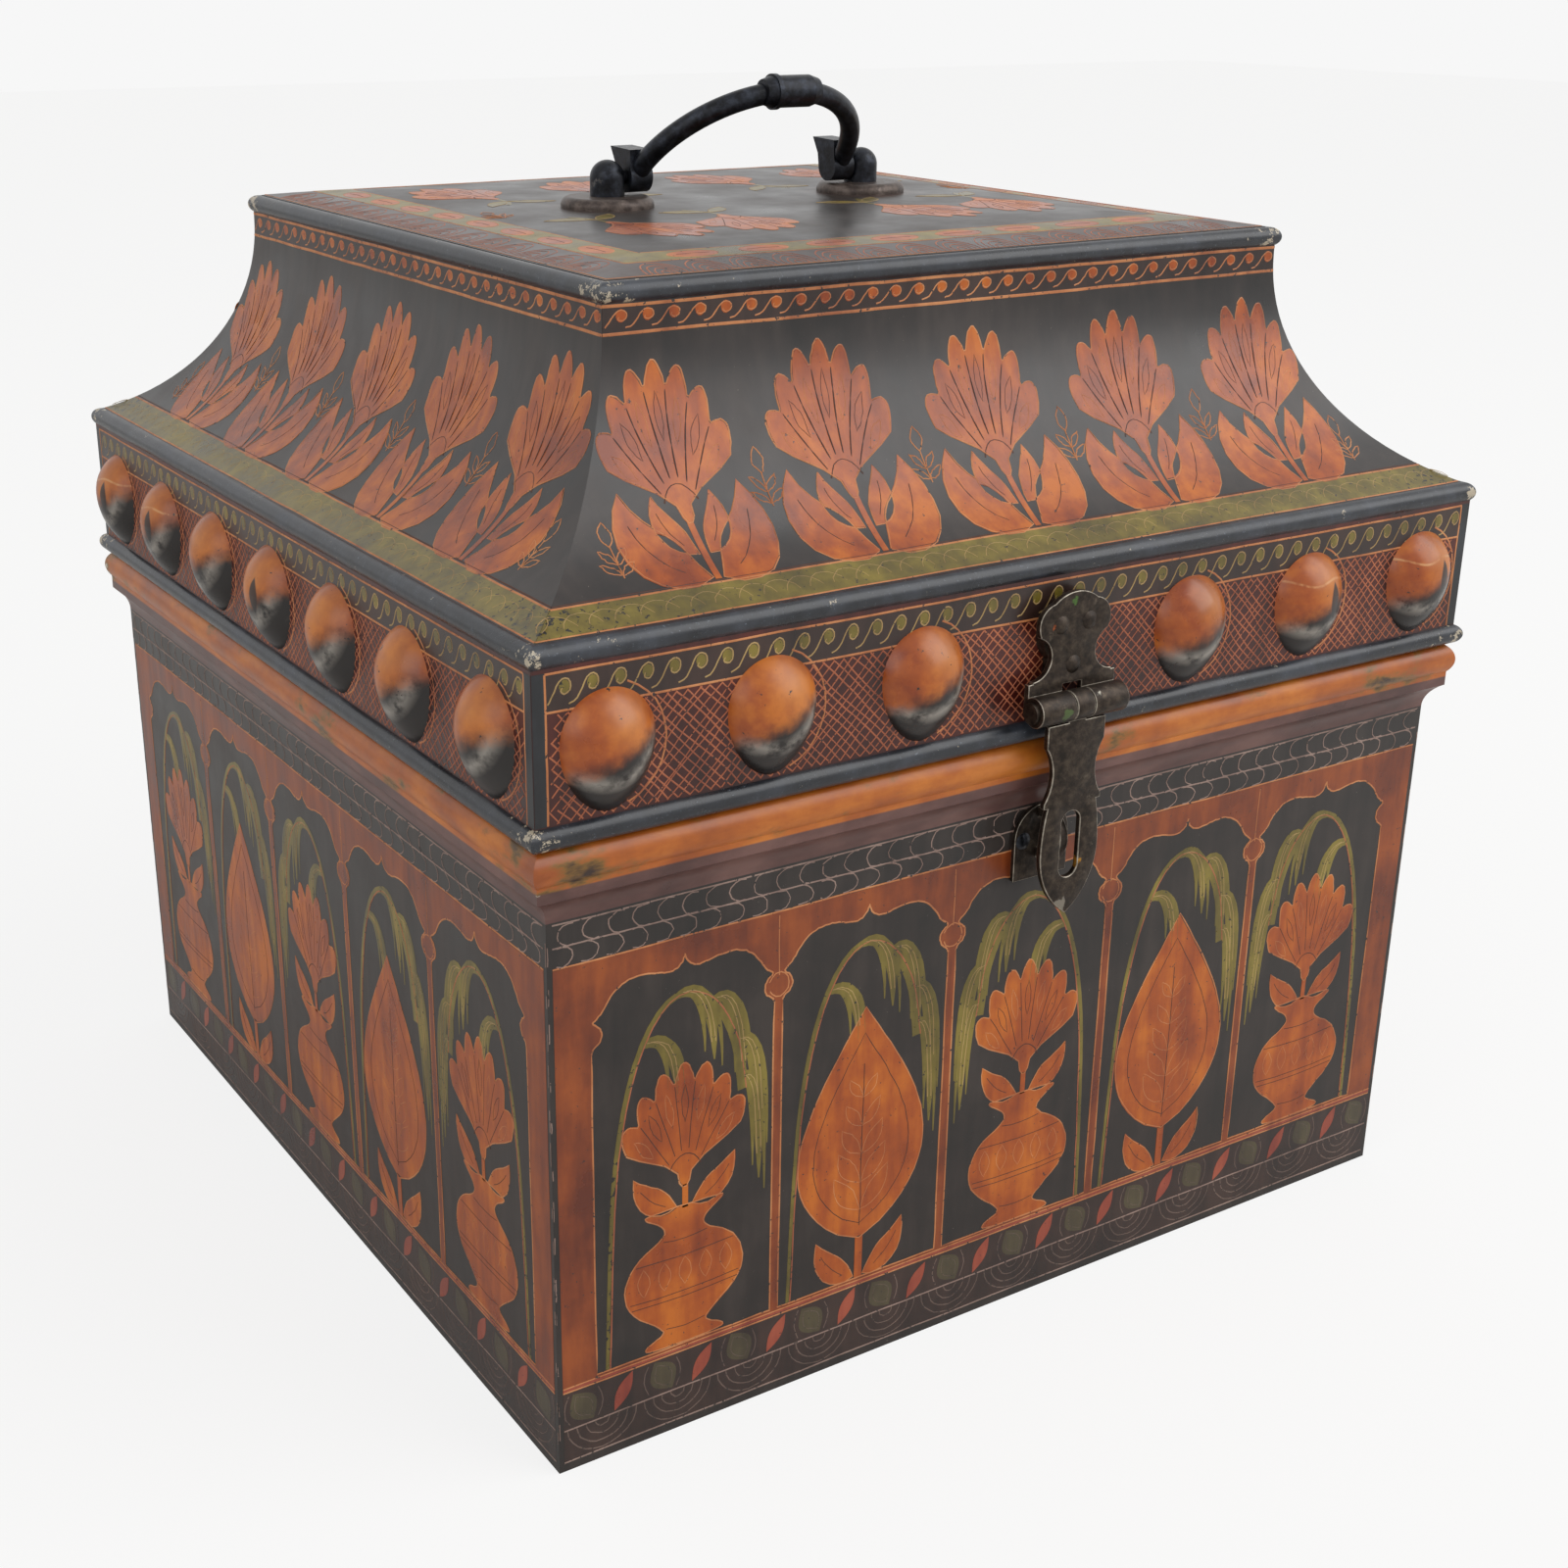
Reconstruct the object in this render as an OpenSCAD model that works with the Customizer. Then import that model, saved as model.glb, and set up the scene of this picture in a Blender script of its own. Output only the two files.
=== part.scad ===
// Small square tin trunk with a coved lid, bail handle and hasp.
// Millimetres. Origin: centre of the flat underside. +Z up, the hasp side faces -Y.
// Side profiles are drawn as (e, z): e is the distance out from the wall's outer face.

/* [Chest body] */
// Width of the body across the walls, left to right
body_w = 310; // [260:1:360]
// Depth of the body across the walls, front to back
body_d = 314; // [260:1:360]
// Height of the flat walls
wall_h = 162; // [130:1:200]
// Thickness of the tinplate
sheet = 0.9; // [0.8:0.05:1.1]
// Height of the lip that the base panel turns up inside the walls
base_lip_h = 8; // [4:0.5:14]

/* [Rim moulding] */
// Height of the hollow cove between the wall and the bead
cavetto_h = 10; // [9:0.5:12]
// Radius of the hollow cove under the bead
cavetto_r = 8.5; // [8:0.25:9]
// Radius of the bead around the chest's mouth
bead_r = 5.6; // [5:0.1:6]
// How far the bead stands out from the wall
bead_out = 5.85; // [5.5:0.05:6.2]
// How far the inner collar overlaps the wall below the moulding
collar_lap = 5; // [4.5:0.25:5.5]
// How far the inner collar rises above the middle of the bead
collar_rise = 21; // [14:0.5:26]

/* [Lid band] */
// How far the lid's upright band stands out from the body wall
band_out = 4.5; // [4.2:0.1:4.8]
// Height of the band between its two rolled edges
band_h = 44.4; // [42:0.2:56]
// Radius of the rolled edge at the lid's mouth
rim_r = 3.1; // [2.9:0.05:3.2]
// How far the rolled edge stands out from the body wall
rim_out = 6.7; // [6.5:0.05:7]
// Gap between the closed lid's rolled edge and the bead
lid_gap = 0.35; // [0.3:0.05:0.6]
// Radius of the rolled shoulder on top of the band
shoulder_r = 3.1; // [2.8:0.05:3.3]
// How far the rolled shoulder stands out from the body wall
shoulder_out = 5.5; // [5.3:0.05:5.8]

/* [Bosses] */
// Distance from one boss to the next
boss_pitch = 46.5; // [42:0.5:50]
// Radius of a boss at its widest level, about its own upright axis
boss_r = 14.6; // [13:0.1:15.5]
// How far a boss stands out from the band
boss_out = 8; // [6:0.1:8.5]
// Height of a boss above its widest level
boss_up = 13; // [11:0.1:13.5]
// Height of a boss below its widest level
boss_down = 18; // [16:0.1:18.5]
// Height of the widest level above the middle of the rolled edge
boss_rise = 22; // [21.5:0.1:24]

/* [Cove and top] */
// Radius of the lid's hollow cove
cove_r = 71; // [64:0.5:80]
// How far the top's upright edge stands in from the body wall
top_inset = 41; // [36:0.5:48]
// Height from the end of the cove to the middle of the top's rolled edge
top_rise = 4.8; // [4:0.1:8]
// Radius of the rolled edge around the top
top_roll_r = 2.8; // [2.4:0.05:3]
// How far that rolled edge stands out from the upright edge
top_roll_proud = 1.3; // [1:0.05:1.6]
// Rise of the top panel from its edges to its flat middle
crown = 3.5; // [2:0.25:6]
// Width of the curved border over which the top panel rises
crown_run = 46; // [30:1:50]

/* [Handle] */
// Distance between the two posts
post_span = 93; // [86:0.5:104]
// Radius of a round handle plate
plate_r = 14; // [12:0.25:16]
// Thickness of a handle plate at its middle
plate_t = 3.2; // [2.6:0.1:4]
// Radius of a post and of its domed head
post_r = 5.2; // [4.8:0.1:5.6]
// Height of the pivot above the plate
pivot_rise = 5.2; // [5.1:0.05:6]
// Radius of the bail's round bar
bail_bar_r = 3.05; // [2.6:0.05:3.3]
// Radius of the eye at each end of the bail
eye_r = 4.6; // [4.3:0.05:4.7]
// Width of that eye
eye_w = 7.4; // [6.4:0.1:7.8]
// Gap between an eye and its post
eye_gap = 0.6; // [0.4:0.05:1]
// Radius of the bail's pivot pin
pivot_pin_r = 2.05; // [1.6:0.05:2.4]
// Length of a pivot pin inside its post
pivot_pin_l = 6.6; // [4:0.1:7.5]
// Lean of the bail towards the hasp side, from upright
bail_lean = 48; // [20:1:70]
// Radius of the ferrule on the grip
ferrule_r = 4.6; // [4:0.1:5.4]
// Length of the ferrule's straight barrel
ferrule_l = 13; // [9:0.5:18]
// Height of the stop lug above the pivot
lug_h = 8.4; // [7:0.1:9.5]

/* [Hasp] */
// Distance of the hasp's hinge axis from the body wall
hasp_e = 12; // [11.8:0.1:13]
// Height of that axis above the middle of the lid's rolled edge
hasp_rise = 8; // [7.6:0.1:9]
// Radius of the hasp's hinge barrel
hasp_barrel_r = 4.2; // [3.8:0.05:4.3]
// Length of the hasp's hinge barrel
hasp_barrel_l = 30; // [27:0.5:33]
// Length of the barrel's middle knuckle
hasp_mid_l = 6; // [5:0.25:8]
// Radius of the hinge pin
hasp_pin_r = 1.6; // [1.2:0.05:2]
// Thickness of the hasp's plates
leaf_t = 1.8; // [1.4:0.05:2]
// Length of the hanging leaf below the axis
leaf_l = 61; // [56:0.5:66]
// Half width of the hanging leaf at its widest
leaf_half_w = 10.2; // [9.6:0.1:11]
// Depth of the leaf's widest level below the axis
leaf_wide_drop = 42; // [40:0.5:44]
// Length of the slot in the leaf
slot_l = 19.5; // [18.5:0.25:21]
// Width of that slot
slot_w = 6.6; // [5.4:0.1:7.4]
// Depth of the slot's middle below the axis
slot_drop = 40.3; // [39.9:0.1:40.9]
// Radius of the staple's bow, outside
staple_r = 7.6; // [7.2:0.1:8]
// Radius of the staple's bow, inside
staple_eye_r = 4.4; // [4:0.1:4.8]
// Width of the staple's bar
staple_w = 3.2; // [2.4:0.1:4]
// Gap between the staple and the hanging leaf
staple_gap = 0.4; // [0.35:0.05:0.8]

/* [Back hinges] */
// Distance of the lid's hinge axis from the back wall
hinge_e = 11.2; // [11:0.1:12]
// Height of that axis above the middle of the lid's rolled edge
hinge_rise = 0.8; // [0:0.1:2]
// Radius of a hinge barrel
hinge_barrel_r = 3.6; // [3.3:0.05:3.7]
// Thickness of the hinge leaves
hinge_t = 1.5; // [1.2:0.05:1.8]
// How far the lid opens, in degrees
lid_open = 110; // [95:1:125]
// Length of a hinge leaf on the body wall
hinge_lower_l = 34; // [28:0.5:44]
// Length of a hinge leaf on the lid's band, above the axis
hinge_upper_l = 33; // [29:0.5:36]

/* [Fits and fasteners] */
// Radial clearance of a pin in its bore
pin_fit = 0.05; // [0.02:0.01:0.09]
// Gap at the ends of a middle knuckle
knuckle_gap = 0.3; // [0.2:0.05:0.5]
// Radius of a rivet's shank
rivet_r = 1.3; // [1:0.05:1.5]
// Radius of a rivet's head
rivet_head_r = 2.5; // [2:0.1:2.8]
// Height of a rivet's head
rivet_head_h = 1; // [0.8:0.1:1.4]

/* [Hidden] */

$fn = 72;
// Fine division for the cove's large arc
cove_fn = 288;
// Steps in the curved border of the top panel
crown_steps = 8;

// Sides of the chest, in quarter turns from the front
FRONT = 0;
RIGHT = 1;
BACK = 2;
LEFT = 3;

// Colours
lacquer = "#3c3835";
band_ground = "#6e3423";
bead_orange = "#c06a2c";
edge_black = "#2a2d33";
boss_orange = "#b5622b";
iron = "#45403b";
plate_brown = "#5d4a40";
bare_tin = "#8b867c";

// Rim moulding and collar
bead_e = bead_out - bead_r;
bead_z = wall_h + cavetto_h + bead_r;
collar_bottom_z = wall_h - collar_lap;
collar_top_z = bead_z + collar_rise;

// Lid band and its rolled edges
rim_e = rim_out - rim_r;
rim_z = bead_z + sqrt(pow(bead_r + rim_r + lid_gap, 2) - pow(rim_e - bead_e, 2));
shoulder_e = shoulder_out - shoulder_r;
shoulder_z = rim_z + band_h;
band_in = band_out - sheet;

// Cove: a quarter hollow whose arc ends upright at the top
cove_e = cove_r - top_inset;
cove_sink = 0.1;
cove_z = shoulder_z + shoulder_r - cove_sink + sqrt(pow(cove_r, 2) - pow(cove_e - shoulder_e, 2));
top_roll_e = -top_inset + top_roll_proud - top_roll_r;
top_roll_z = cove_z + top_rise;
top_edge_z = top_roll_z + top_roll_r;

// Top panel, out to the middle of its rolled edge, and the seam between the two
top_half_w = body_w / 2 + top_roll_e;
top_half_d = body_d / 2 + top_roll_e;
top_seam = 0.8;

// Bosses
boss_axis_in = boss_r - boss_out;
boss_z = rim_z + boss_rise;
boss_lower_r = boss_lower_radius();
front_bosses = [-3, -2, -1, 1, 2, 3];
back_bosses = [-3, -1, 0, 1, 3];
side_bosses = [-3, -2, -1, 0, 1, 2, 3];

// Handle
post_x = post_span / 2;
plate_edge_r = 2.4;
plate_seat_z = top_edge_z + crown;
plate_top_z = plate_seat_z + plate_t;
pivot_z = plate_top_z + pivot_rise;
eye_out_x = post_x - post_r - eye_gap;
eye_in_x = eye_out_x - eye_w;
bail_r = (eye_out_x + eye_in_x) / 2;
shank_r = 2.4;
washer_r = 6.5;
washer_t = 1.2;
peen_h = 1;
peen_r = 3.6;
ferrule_lip_r = bail_bar_r + 0.6;

// Hasp
hasp_z = rim_z + hasp_rise;
hasp_back_e = hasp_e - hasp_barrel_r;
leaf_head_gap = 0.45;
leaf_wide_z = hasp_z - leaf_wide_drop;
leaf_tip_z = hasp_z - leaf_l;
leaf_waist_z = hasp_z - 19;
leaf_shoulder_z = hasp_z - 28.5;
slot_mid_z = hasp_z - slot_drop;
staple_tip_e = hasp_e - leaf_t / 2 - staple_gap;
staple_bow_e = staple_tip_e - staple_r;
staple_plate_t = 1.4;
staple_plate_half_w = 9.5;
staple_plate_low_z = slot_mid_z - 13.7;
staple_plate_top_z = wall_h - 0.2;
staple_rivet_spots = [[-6.6, slot_mid_z - 1.9], [6.6, slot_mid_z - 1.9]];
staple_leg = staple_r - staple_eye_r;
staple_depth = 1.4;
hasp_head_z = hasp_z + 19;
hasp_head_r = 11.7;
hasp_ear_x = 6.3;
hasp_ear_r = 6;
hasp_ear_rise = 3.2;
hasp_foot_h = 7;
hasp_neck_half_w = 13.6;
hasp_notch_r = 6;
hasp_notch_z = hasp_z + 13.5;
packing_inset = 2.4;
packing_half_w = 6.4;
packing_low_z = hasp_z + 6.4;
hasp_rivet_spots = [[-4.8, hasp_head_z + 3], [4.8, hasp_head_z + 3], [0, hasp_z + 10.5]];

// Back hinges
hinge_x = 2 * boss_pitch;
hinge_z = rim_z + hinge_rise;
hinge_barrel_l = 30;
hinge_mid_l = 10;
hinge_pin_r = 1.5;
hinge_back_e = hinge_e - hinge_barrel_r;
hinge_half_w = 11;
hinge_upper_foot_z = hinge_z + 10;
hinge_upper_top_z = hinge_z + hinge_upper_l;
hinge_upper_spots = [[-4.6, hinge_z + 23.5], [4.6, hinge_z + 23.5]];
hinge_lower_top_z = wall_h - 2;
hinge_lower_tip_z = hinge_lower_top_z - hinge_lower_l;
hinge_lower_spots = [[-6, hinge_lower_top_z - 6], [6, hinge_lower_top_z - 6], [0, hinge_lower_top_z - 20]];
stop_reach = 1.9;
stop_depth = 2.7;
stop_clear = 0.2;
stop_w = 4;

// Room past the solids for cuts and mitres
over = 1;
reach = top_inset + crown_run + 10;
tall = 400;

// Radius of the long arc under a boss's widest level
function boss_lower_radius() =
    let (drop = boss_axis_in, span = boss_r - drop)
    (pow(boss_down, 2) + pow(span, 2)) / (2 * span);

// Half the length, and the distance from the middle, of one side
function side_half_len(side) = side % 2 == 0 ? body_w / 2 : body_d / 2;
function side_offset(side) = side % 2 == 0 ? body_d / 2 : body_w / 2;

// Places children drawn for the front, with y = 0 on the wall's face, on a side
module on_side(side) {
    rotate([0, 0, 90 * side])
        translate([0, -side_offset(side), 0])
            children();
}

// A wedge-ended block that keeps one side's share of a mitred frame
module mitre_block(half_len) {
    linear_extrude(tall)
        polygon([
            [-half_len - reach, -reach],
            [half_len + reach, -reach],
            [half_len - reach, reach],
            [-half_len + reach, reach]
        ]);
}

// Runs an (e, z) profile along one side and mitres both ends
module side_strip(side) {
    half_len = side_half_len(side);
    on_side(side)
        intersection() {
            rotate([90, 0, -90])
                linear_extrude(2 * (half_len + reach), center = true)
                    children();
            mitre_block(half_len);
        }
}

// Turns an (x, z) outline into a plate between two distances from the wall's face
module wall_plate(e_from, e_to) {
    translate([0, -e_from, 0])
        rotate([90, 0, 0])
            linear_extrude(e_to - e_from)
                children();
}

// Runs an (e, z) outline along x over a stated width, for cranked plates and nibs
module cranked(x_from, x_to) {
    translate([(x_from + x_to) / 2, 0, 0])
        rotate([90, 0, -90])
            linear_extrude(x_to - x_from, center = true)
                children();
}

// A round bar along x, at a point of the (e, z) plane
module bar_x(x_from, x_to, e, z, r) {
    translate([x_from, -e, z])
        rotate([0, 90, 0])
            cylinder(h = x_to - x_from, r = r);
}

// A round hole or shank through a side, at each (x, z) spot
module shanks(spots, e_from, e_to, r) {
    for (spot = spots)
        translate([spot[0], -e_from, spot[1]])
            rotate([90, 0, 0])
                cylinder(h = e_to - e_from, r = r);
}

// A rivet through a side: low domed head outside, flat peened head inside
module rivets(spots, e_in, e_out) {
    dome_r = (pow(rivet_head_r, 2) + pow(rivet_head_h, 2)) / (2 * rivet_head_h);
    rivet_peen_h = 0.8;
    rivet_peen_r = 2.1;
    for (spot = spots)
        translate([spot[0], 0, spot[1]])
            rotate([90, 0, 0]) {
                translate([0, 0, e_in])
                    cylinder(h = e_out - e_in, r = rivet_r);
                translate([0, 0, e_in - rivet_peen_h])
                    cylinder(h = rivet_peen_h, r = rivet_peen_r);
                intersection() {
                    translate([0, 0, e_out])
                        cylinder(h = rivet_head_h + over, r = rivet_head_r + over);
                    translate([0, 0, e_out + rivet_head_h - dome_r])
                        sphere(r = dome_r);
                }
            }
}

// Chest body

module base_panel() {
    inner_w = body_w - 2 * sheet;
    inner_d = body_d - 2 * sheet;
    color(bare_tin)
        difference() {
            translate([-inner_w / 2, -inner_d / 2, 0])
                cube([inner_w, inner_d, base_lip_h]);
            translate([-inner_w / 2 + sheet, -inner_d / 2 + sheet, sheet])
                cube([inner_w - 2 * sheet, inner_d - 2 * sheet, base_lip_h]);
        }
}

module wall(side) {
    color(lacquer)
        difference() {
            side_strip(side)
                translate([-sheet, 0])
                    square([sheet, wall_h]);
            if (side == FRONT)
                on_side(FRONT) {
                    shanks(staple_rivet_spots, -over - sheet, over, rivet_r + pin_fit);
                    staple_legs(-over - sheet, over, pin_fit);
                }
            if (side == BACK)
                on_side(BACK)
                    for (x = [-hinge_x, hinge_x])
                        translate([x, 0, 0])
                            shanks(hinge_lower_spots, -over - sheet, over, rivet_r + pin_fit);
        }
}

// The hollow cavetto and bead, as a closed thin-walled profile
module rim_moulding_profile() {
    cavetto_out = bead_e + bead_r * 0.72;
    difference() {
        union() {
            difference() {
                translate([-sheet, wall_h])
                    square([cavetto_out + sheet, bead_z - wall_h]);
                translate([cavetto_r, wall_h])
                    circle(r = cavetto_r);
            }
            intersection() {
                translate([bead_e, bead_z])
                    circle(r = bead_r);
                translate([-sheet, wall_h])
                    square([bead_out + sheet, 2 * (bead_z - wall_h)]);
            }
        }
        difference() {
            translate([0, wall_h + sheet])
                square([cavetto_out - sheet, bead_z - wall_h - sheet]);
            translate([cavetto_r, wall_h])
                circle(r = cavetto_r + sheet);
        }
        intersection() {
            translate([bead_e, bead_z])
                circle(r = bead_r - sheet);
            translate([0, wall_h])
                square([bead_out, 2 * (bead_z - wall_h)]);
        }
    }
}

module rim_moulding(side) {
    color(bead_orange)
        side_strip(side)
            rim_moulding_profile();
}

module collar(side) {
    color(bare_tin)
        difference() {
            side_strip(side)
                translate([-2 * sheet, collar_bottom_z])
                    square([sheet, collar_top_z - collar_bottom_z]);
            if (side == FRONT)
                on_side(FRONT)
                    staple_legs(-over - 2 * sheet, 0, pin_fit);
        }
}

// Staple

module staple_plate() {
    color(iron)
        on_side(FRONT)
            difference() {
                wall_plate(0, staple_plate_t)
                    staple_plate_outline();
                shanks(staple_rivet_spots, -over, staple_plate_t + over, rivet_r + pin_fit);
                staple_legs(-over, staple_plate_t + over, pin_fit);
            }
}

// Flat foot, upright sides and a round top that stays below the moulding
module staple_plate_outline() {
    spring_z = staple_plate_top_z - staple_plate_half_w;
    translate([-staple_plate_half_w, staple_plate_low_z])
        square([2 * staple_plate_half_w, spring_z - staple_plate_low_z]);
    translate([0, spring_z])
        circle(r = staple_plate_half_w);
}

// The two legs of the staple, grown by a fit all round
module staple_legs(e_from, e_to, fit) {
    for (z = [slot_mid_z - staple_r, slot_mid_z + staple_eye_r])
        translate([-staple_w / 2 - fit, -e_to, z - fit])
            cube([staple_w + 2 * fit, e_to - e_from, staple_leg + 2 * fit]);
}

module staple() {
    color(iron)
        on_side(FRONT) {
            cranked(-staple_w / 2, staple_w / 2)
                intersection() {
                    translate([staple_bow_e, slot_mid_z])
                        difference() {
                            circle(r = staple_r);
                            circle(r = staple_eye_r);
                        }
                    translate([staple_bow_e, slot_mid_z - staple_r])
                        square([staple_r, 2 * staple_r]);
                }
            staple_legs(-sheet - staple_depth, staple_bow_e, 0);
        }
}

module staple_rivets() {
    color(iron)
        on_side(FRONT)
            rivets(staple_rivet_spots, -sheet, staple_plate_t);
}

// Lid band, bosses and rolled edges

module lid_band(side) {
    color(band_ground)
        difference() {
            side_strip(side)
                difference() {
                    translate([band_in, rim_z])
                        square([sheet, band_h]);
                    translate([rim_e, rim_z])
                        circle(r = rim_r);
                    translate([shoulder_e, shoulder_z])
                        circle(r = shoulder_r);
                }
            if (side == FRONT)
                on_side(FRONT)
                    shanks(hasp_rivet_spots, band_in - over, band_out + over, rivet_r + pin_fit);
            if (side == BACK)
                on_side(BACK)
                    for (x = [-hinge_x, hinge_x])
                        translate([x, 0, 0])
                            shanks(hinge_upper_spots, band_in - over, band_out + over, rivet_r + pin_fit);
        }
}

// Half outline of a boss about its upright axis: round above, longer below
module boss_profile(shrink) {
    lower_r = boss_lower_r - shrink;
    upper_r = boss_r - shrink;
    stretch = (pow(boss_up, 2) + pow(boss_axis_in, 2) - pow(boss_r, 2)) / (2 * (boss_r - boss_axis_in));
    intersection() {
        union() {
            intersection() {
                translate([-stretch, 0])
                    circle(r = upper_r + stretch);
                square([boss_r, boss_r]);
            }
            intersection() {
                translate([boss_r - boss_lower_r, 0])
                    circle(r = lower_r);
                translate([0, -2 * boss_down])
                    square([boss_r, 2 * boss_down]);
            }
        }
        translate([boss_axis_in * 0.4, -2 * boss_down])
            square([boss_r, 4 * boss_down]);
    }
}

module boss() {
    translate([0, boss_axis_in, 0])
        intersection() {
            difference() {
                rotate_extrude()
                    boss_profile(0);
                rotate_extrude()
                    boss_profile(sheet);
            }
            translate([-2 * boss_r, -boss_axis_in - 2 * boss_r, -2 * boss_down])
                cube([4 * boss_r, 2 * boss_r, 4 * boss_down]);
        }
}

module bosses(side, steps) {
    color(boss_orange)
        on_side(side)
            for (step = steps)
                translate([step * boss_pitch, -band_out, boss_z])
                    boss();
}

// A hollow rolled edge along one side
module roll(side, e, z, r) {
    color(edge_black)
        side_strip(side)
            translate([e, z])
                difference() {
                    circle(r = r);
                    circle(r = r - sheet);
                }
}

// Cove and top

// Everything on the outer side of the lid's skin, grown towards it by extra
module cove_hollow(extra) {
    translate([cove_e, cove_z])
        circle(r = cove_r + extra, $fn = cove_fn);
    translate([-top_inset - extra, cove_z])
        square([2 * top_inset, top_rise + over]);
}

module cove(side) {
    color(lacquer)
        side_strip(side)
            difference() {
                intersection() {
                    cove_hollow(sheet);
                    translate([-top_inset - 2 * sheet, shoulder_z])
                        square([top_inset + 2 * sheet + shoulder_e, top_roll_z - shoulder_z]);
                }
                cove_hollow(0);
                translate([shoulder_e, shoulder_z])
                    circle(r = shoulder_r);
                translate([top_roll_e, top_roll_z])
                    circle(r = top_roll_r);
            }
}

// Upper edge of the top's curved border, from its rolled edge to the flat middle
function crown_edge(drop) = [
    for (i = [0:crown_steps])
        let (t = i / crown_steps)
        [top_roll_e - crown_run * t, top_edge_z - drop + crown * (1 - pow(1 - t, 2))]
];

// Section of the curved border: a short flat lap in the middle, and an outer end that lies on the rolled edge
module crown_profile() {
    lap_e = top_roll_e - crown_run - over;
    lower = crown_edge(sheet);
    difference() {
        polygon(concat(
            crown_edge(0),
            [[lap_e, plate_seat_z], [lap_e, plate_seat_z - sheet]],
            [for (i = [crown_steps:-1:0]) lower[i]]
        ));
        translate([top_roll_e, top_roll_z])
            circle(r = top_roll_r);
        translate([top_roll_e - top_seam, top_roll_z])
            square([top_seam + over, top_roll_r + over]);
    }
}

module top_middle() {
    flat_w = 2 * (top_half_w - crown_run);
    flat_d = 2 * (top_half_d - crown_run);
    translate([-flat_w / 2, -flat_d / 2, plate_seat_z - sheet])
        cube([flat_w, flat_d, sheet]);
}

module top_panel() {
    color(lacquer)
        difference() {
            union() {
                top_middle();
                for (side = [FRONT, RIGHT, BACK, LEFT])
                    side_strip(side)
                        crown_profile();
            }
            for (x = [-post_x, post_x])
                translate([x, 0, plate_seat_z - plate_t])
                    cylinder(h = 2 * plate_t, r = shank_r + pin_fit);
        }
}

// Handle mountings, drawn for the right and mirrored for the left

// A low round plate with a rounded upper edge
module handle_plate() {
    color(plate_brown)
        translate([post_x, 0, plate_seat_z])
            difference() {
                rotate_extrude()
                    handle_plate_profile();
                translate([0, 0, -over])
                    cylinder(h = plate_t + 2 * over, r = shank_r + pin_fit);
            }
}

// Half section of a handle plate, flat below and rounded at its upper edge
module handle_plate_profile() {
    square([plate_r - plate_edge_r, plate_t]);
    square([plate_r, plate_t - plate_edge_r]);
    intersection() {
        translate([plate_r - plate_edge_r, plate_t - plate_edge_r])
            circle(r = plate_edge_r);
        square([plate_r, plate_t]);
    }
}

module handle_post() {
    color(iron)
        difference() {
            translate([post_x, 0, 0])
                union() {
                    translate([0, 0, plate_top_z])
                        cylinder(h = pivot_rise, r = post_r);
                    translate([0, 0, pivot_z])
                        sphere(r = post_r);
                    translate([0, 0, plate_seat_z - sheet - washer_t])
                        cylinder(h = plate_t + sheet + washer_t, r = shank_r);
                    translate([0, 0, plate_seat_z - sheet - washer_t - peen_h])
                        cylinder(h = peen_h, r = peen_r);
                }
            translate([post_x - 2 * post_r, 0, pivot_z])
                rotate([0, 90, 0])
                    cylinder(h = post_r + pivot_pin_l + knuckle_gap, r = pivot_pin_r + pin_fit);
        }
}

module post_washers() {
    color(bare_tin)
        for (x = [-post_x, post_x])
            translate([x, 0, plate_seat_z - sheet - washer_t])
                difference() {
                    cylinder(h = washer_t, r = washer_r);
                    translate([0, 0, -over])
                        cylinder(h = washer_t + 2 * over, r = shank_r + pin_fit);
                }
}

// Bail

module bail() {
    pin_tip_x = eye_out_x + eye_gap + pivot_pin_l;
    color(iron)
        translate([0, 0, pivot_z]) {
            rotate([90 + bail_lean, 0, 0])
                rotate_extrude(angle = 180)
                    translate([bail_r, 0])
                        circle(r = bail_bar_r);
            for (turn = [0, 1])
                mirror([turn, 0, 0]) {
                    bar_x(eye_in_x, eye_out_x, 0, 0, eye_r);
                    bar_x(eye_out_x, pin_tip_x, 0, 0, pivot_pin_r);
                    cranked(eye_in_x, eye_out_x)
                        stop_lug();
                }
        }
}

// The flared lug that meets the plate when the bail is thrown back
module stop_lug() {
    polygon([
        [eye_r * 0.9, 0],
        [eye_r * 0.78, lug_h - 0.4],
        [-lug_h * 0.95, lug_h],
        [-eye_r * 1.12, lug_h * 0.42],
        [-eye_r * 0.97, -eye_r * 0.2]
    ]);
}

module grip_ferrule() {
    collar_l = 3;
    color(iron)
        translate([0, 0, pivot_z])
            rotate([90 + bail_lean, 0, 0])
                difference() {
                    translate([0, bail_r, 0])
                        rotate([0, 90, 0]) {
                            translate([0, 0, -ferrule_l / 2])
                                cylinder(h = ferrule_l, r = ferrule_r);
                            translate([0, 0, -ferrule_l / 2 - collar_l])
                                cylinder(h = collar_l, r1 = ferrule_lip_r, r2 = ferrule_r);
                            translate([0, 0, -ferrule_l / 2])
                                cylinder(h = collar_l / 2, r = ferrule_r + 0.5);
                            translate([0, 0, ferrule_l / 2])
                                cylinder(h = collar_l, r1 = ferrule_r, r2 = ferrule_lip_r);
                        }
                    rotate_extrude()
                        translate([bail_r, 0])
                            circle(r = bail_bar_r + pin_fit);
                }
}

// Hasp

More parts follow.
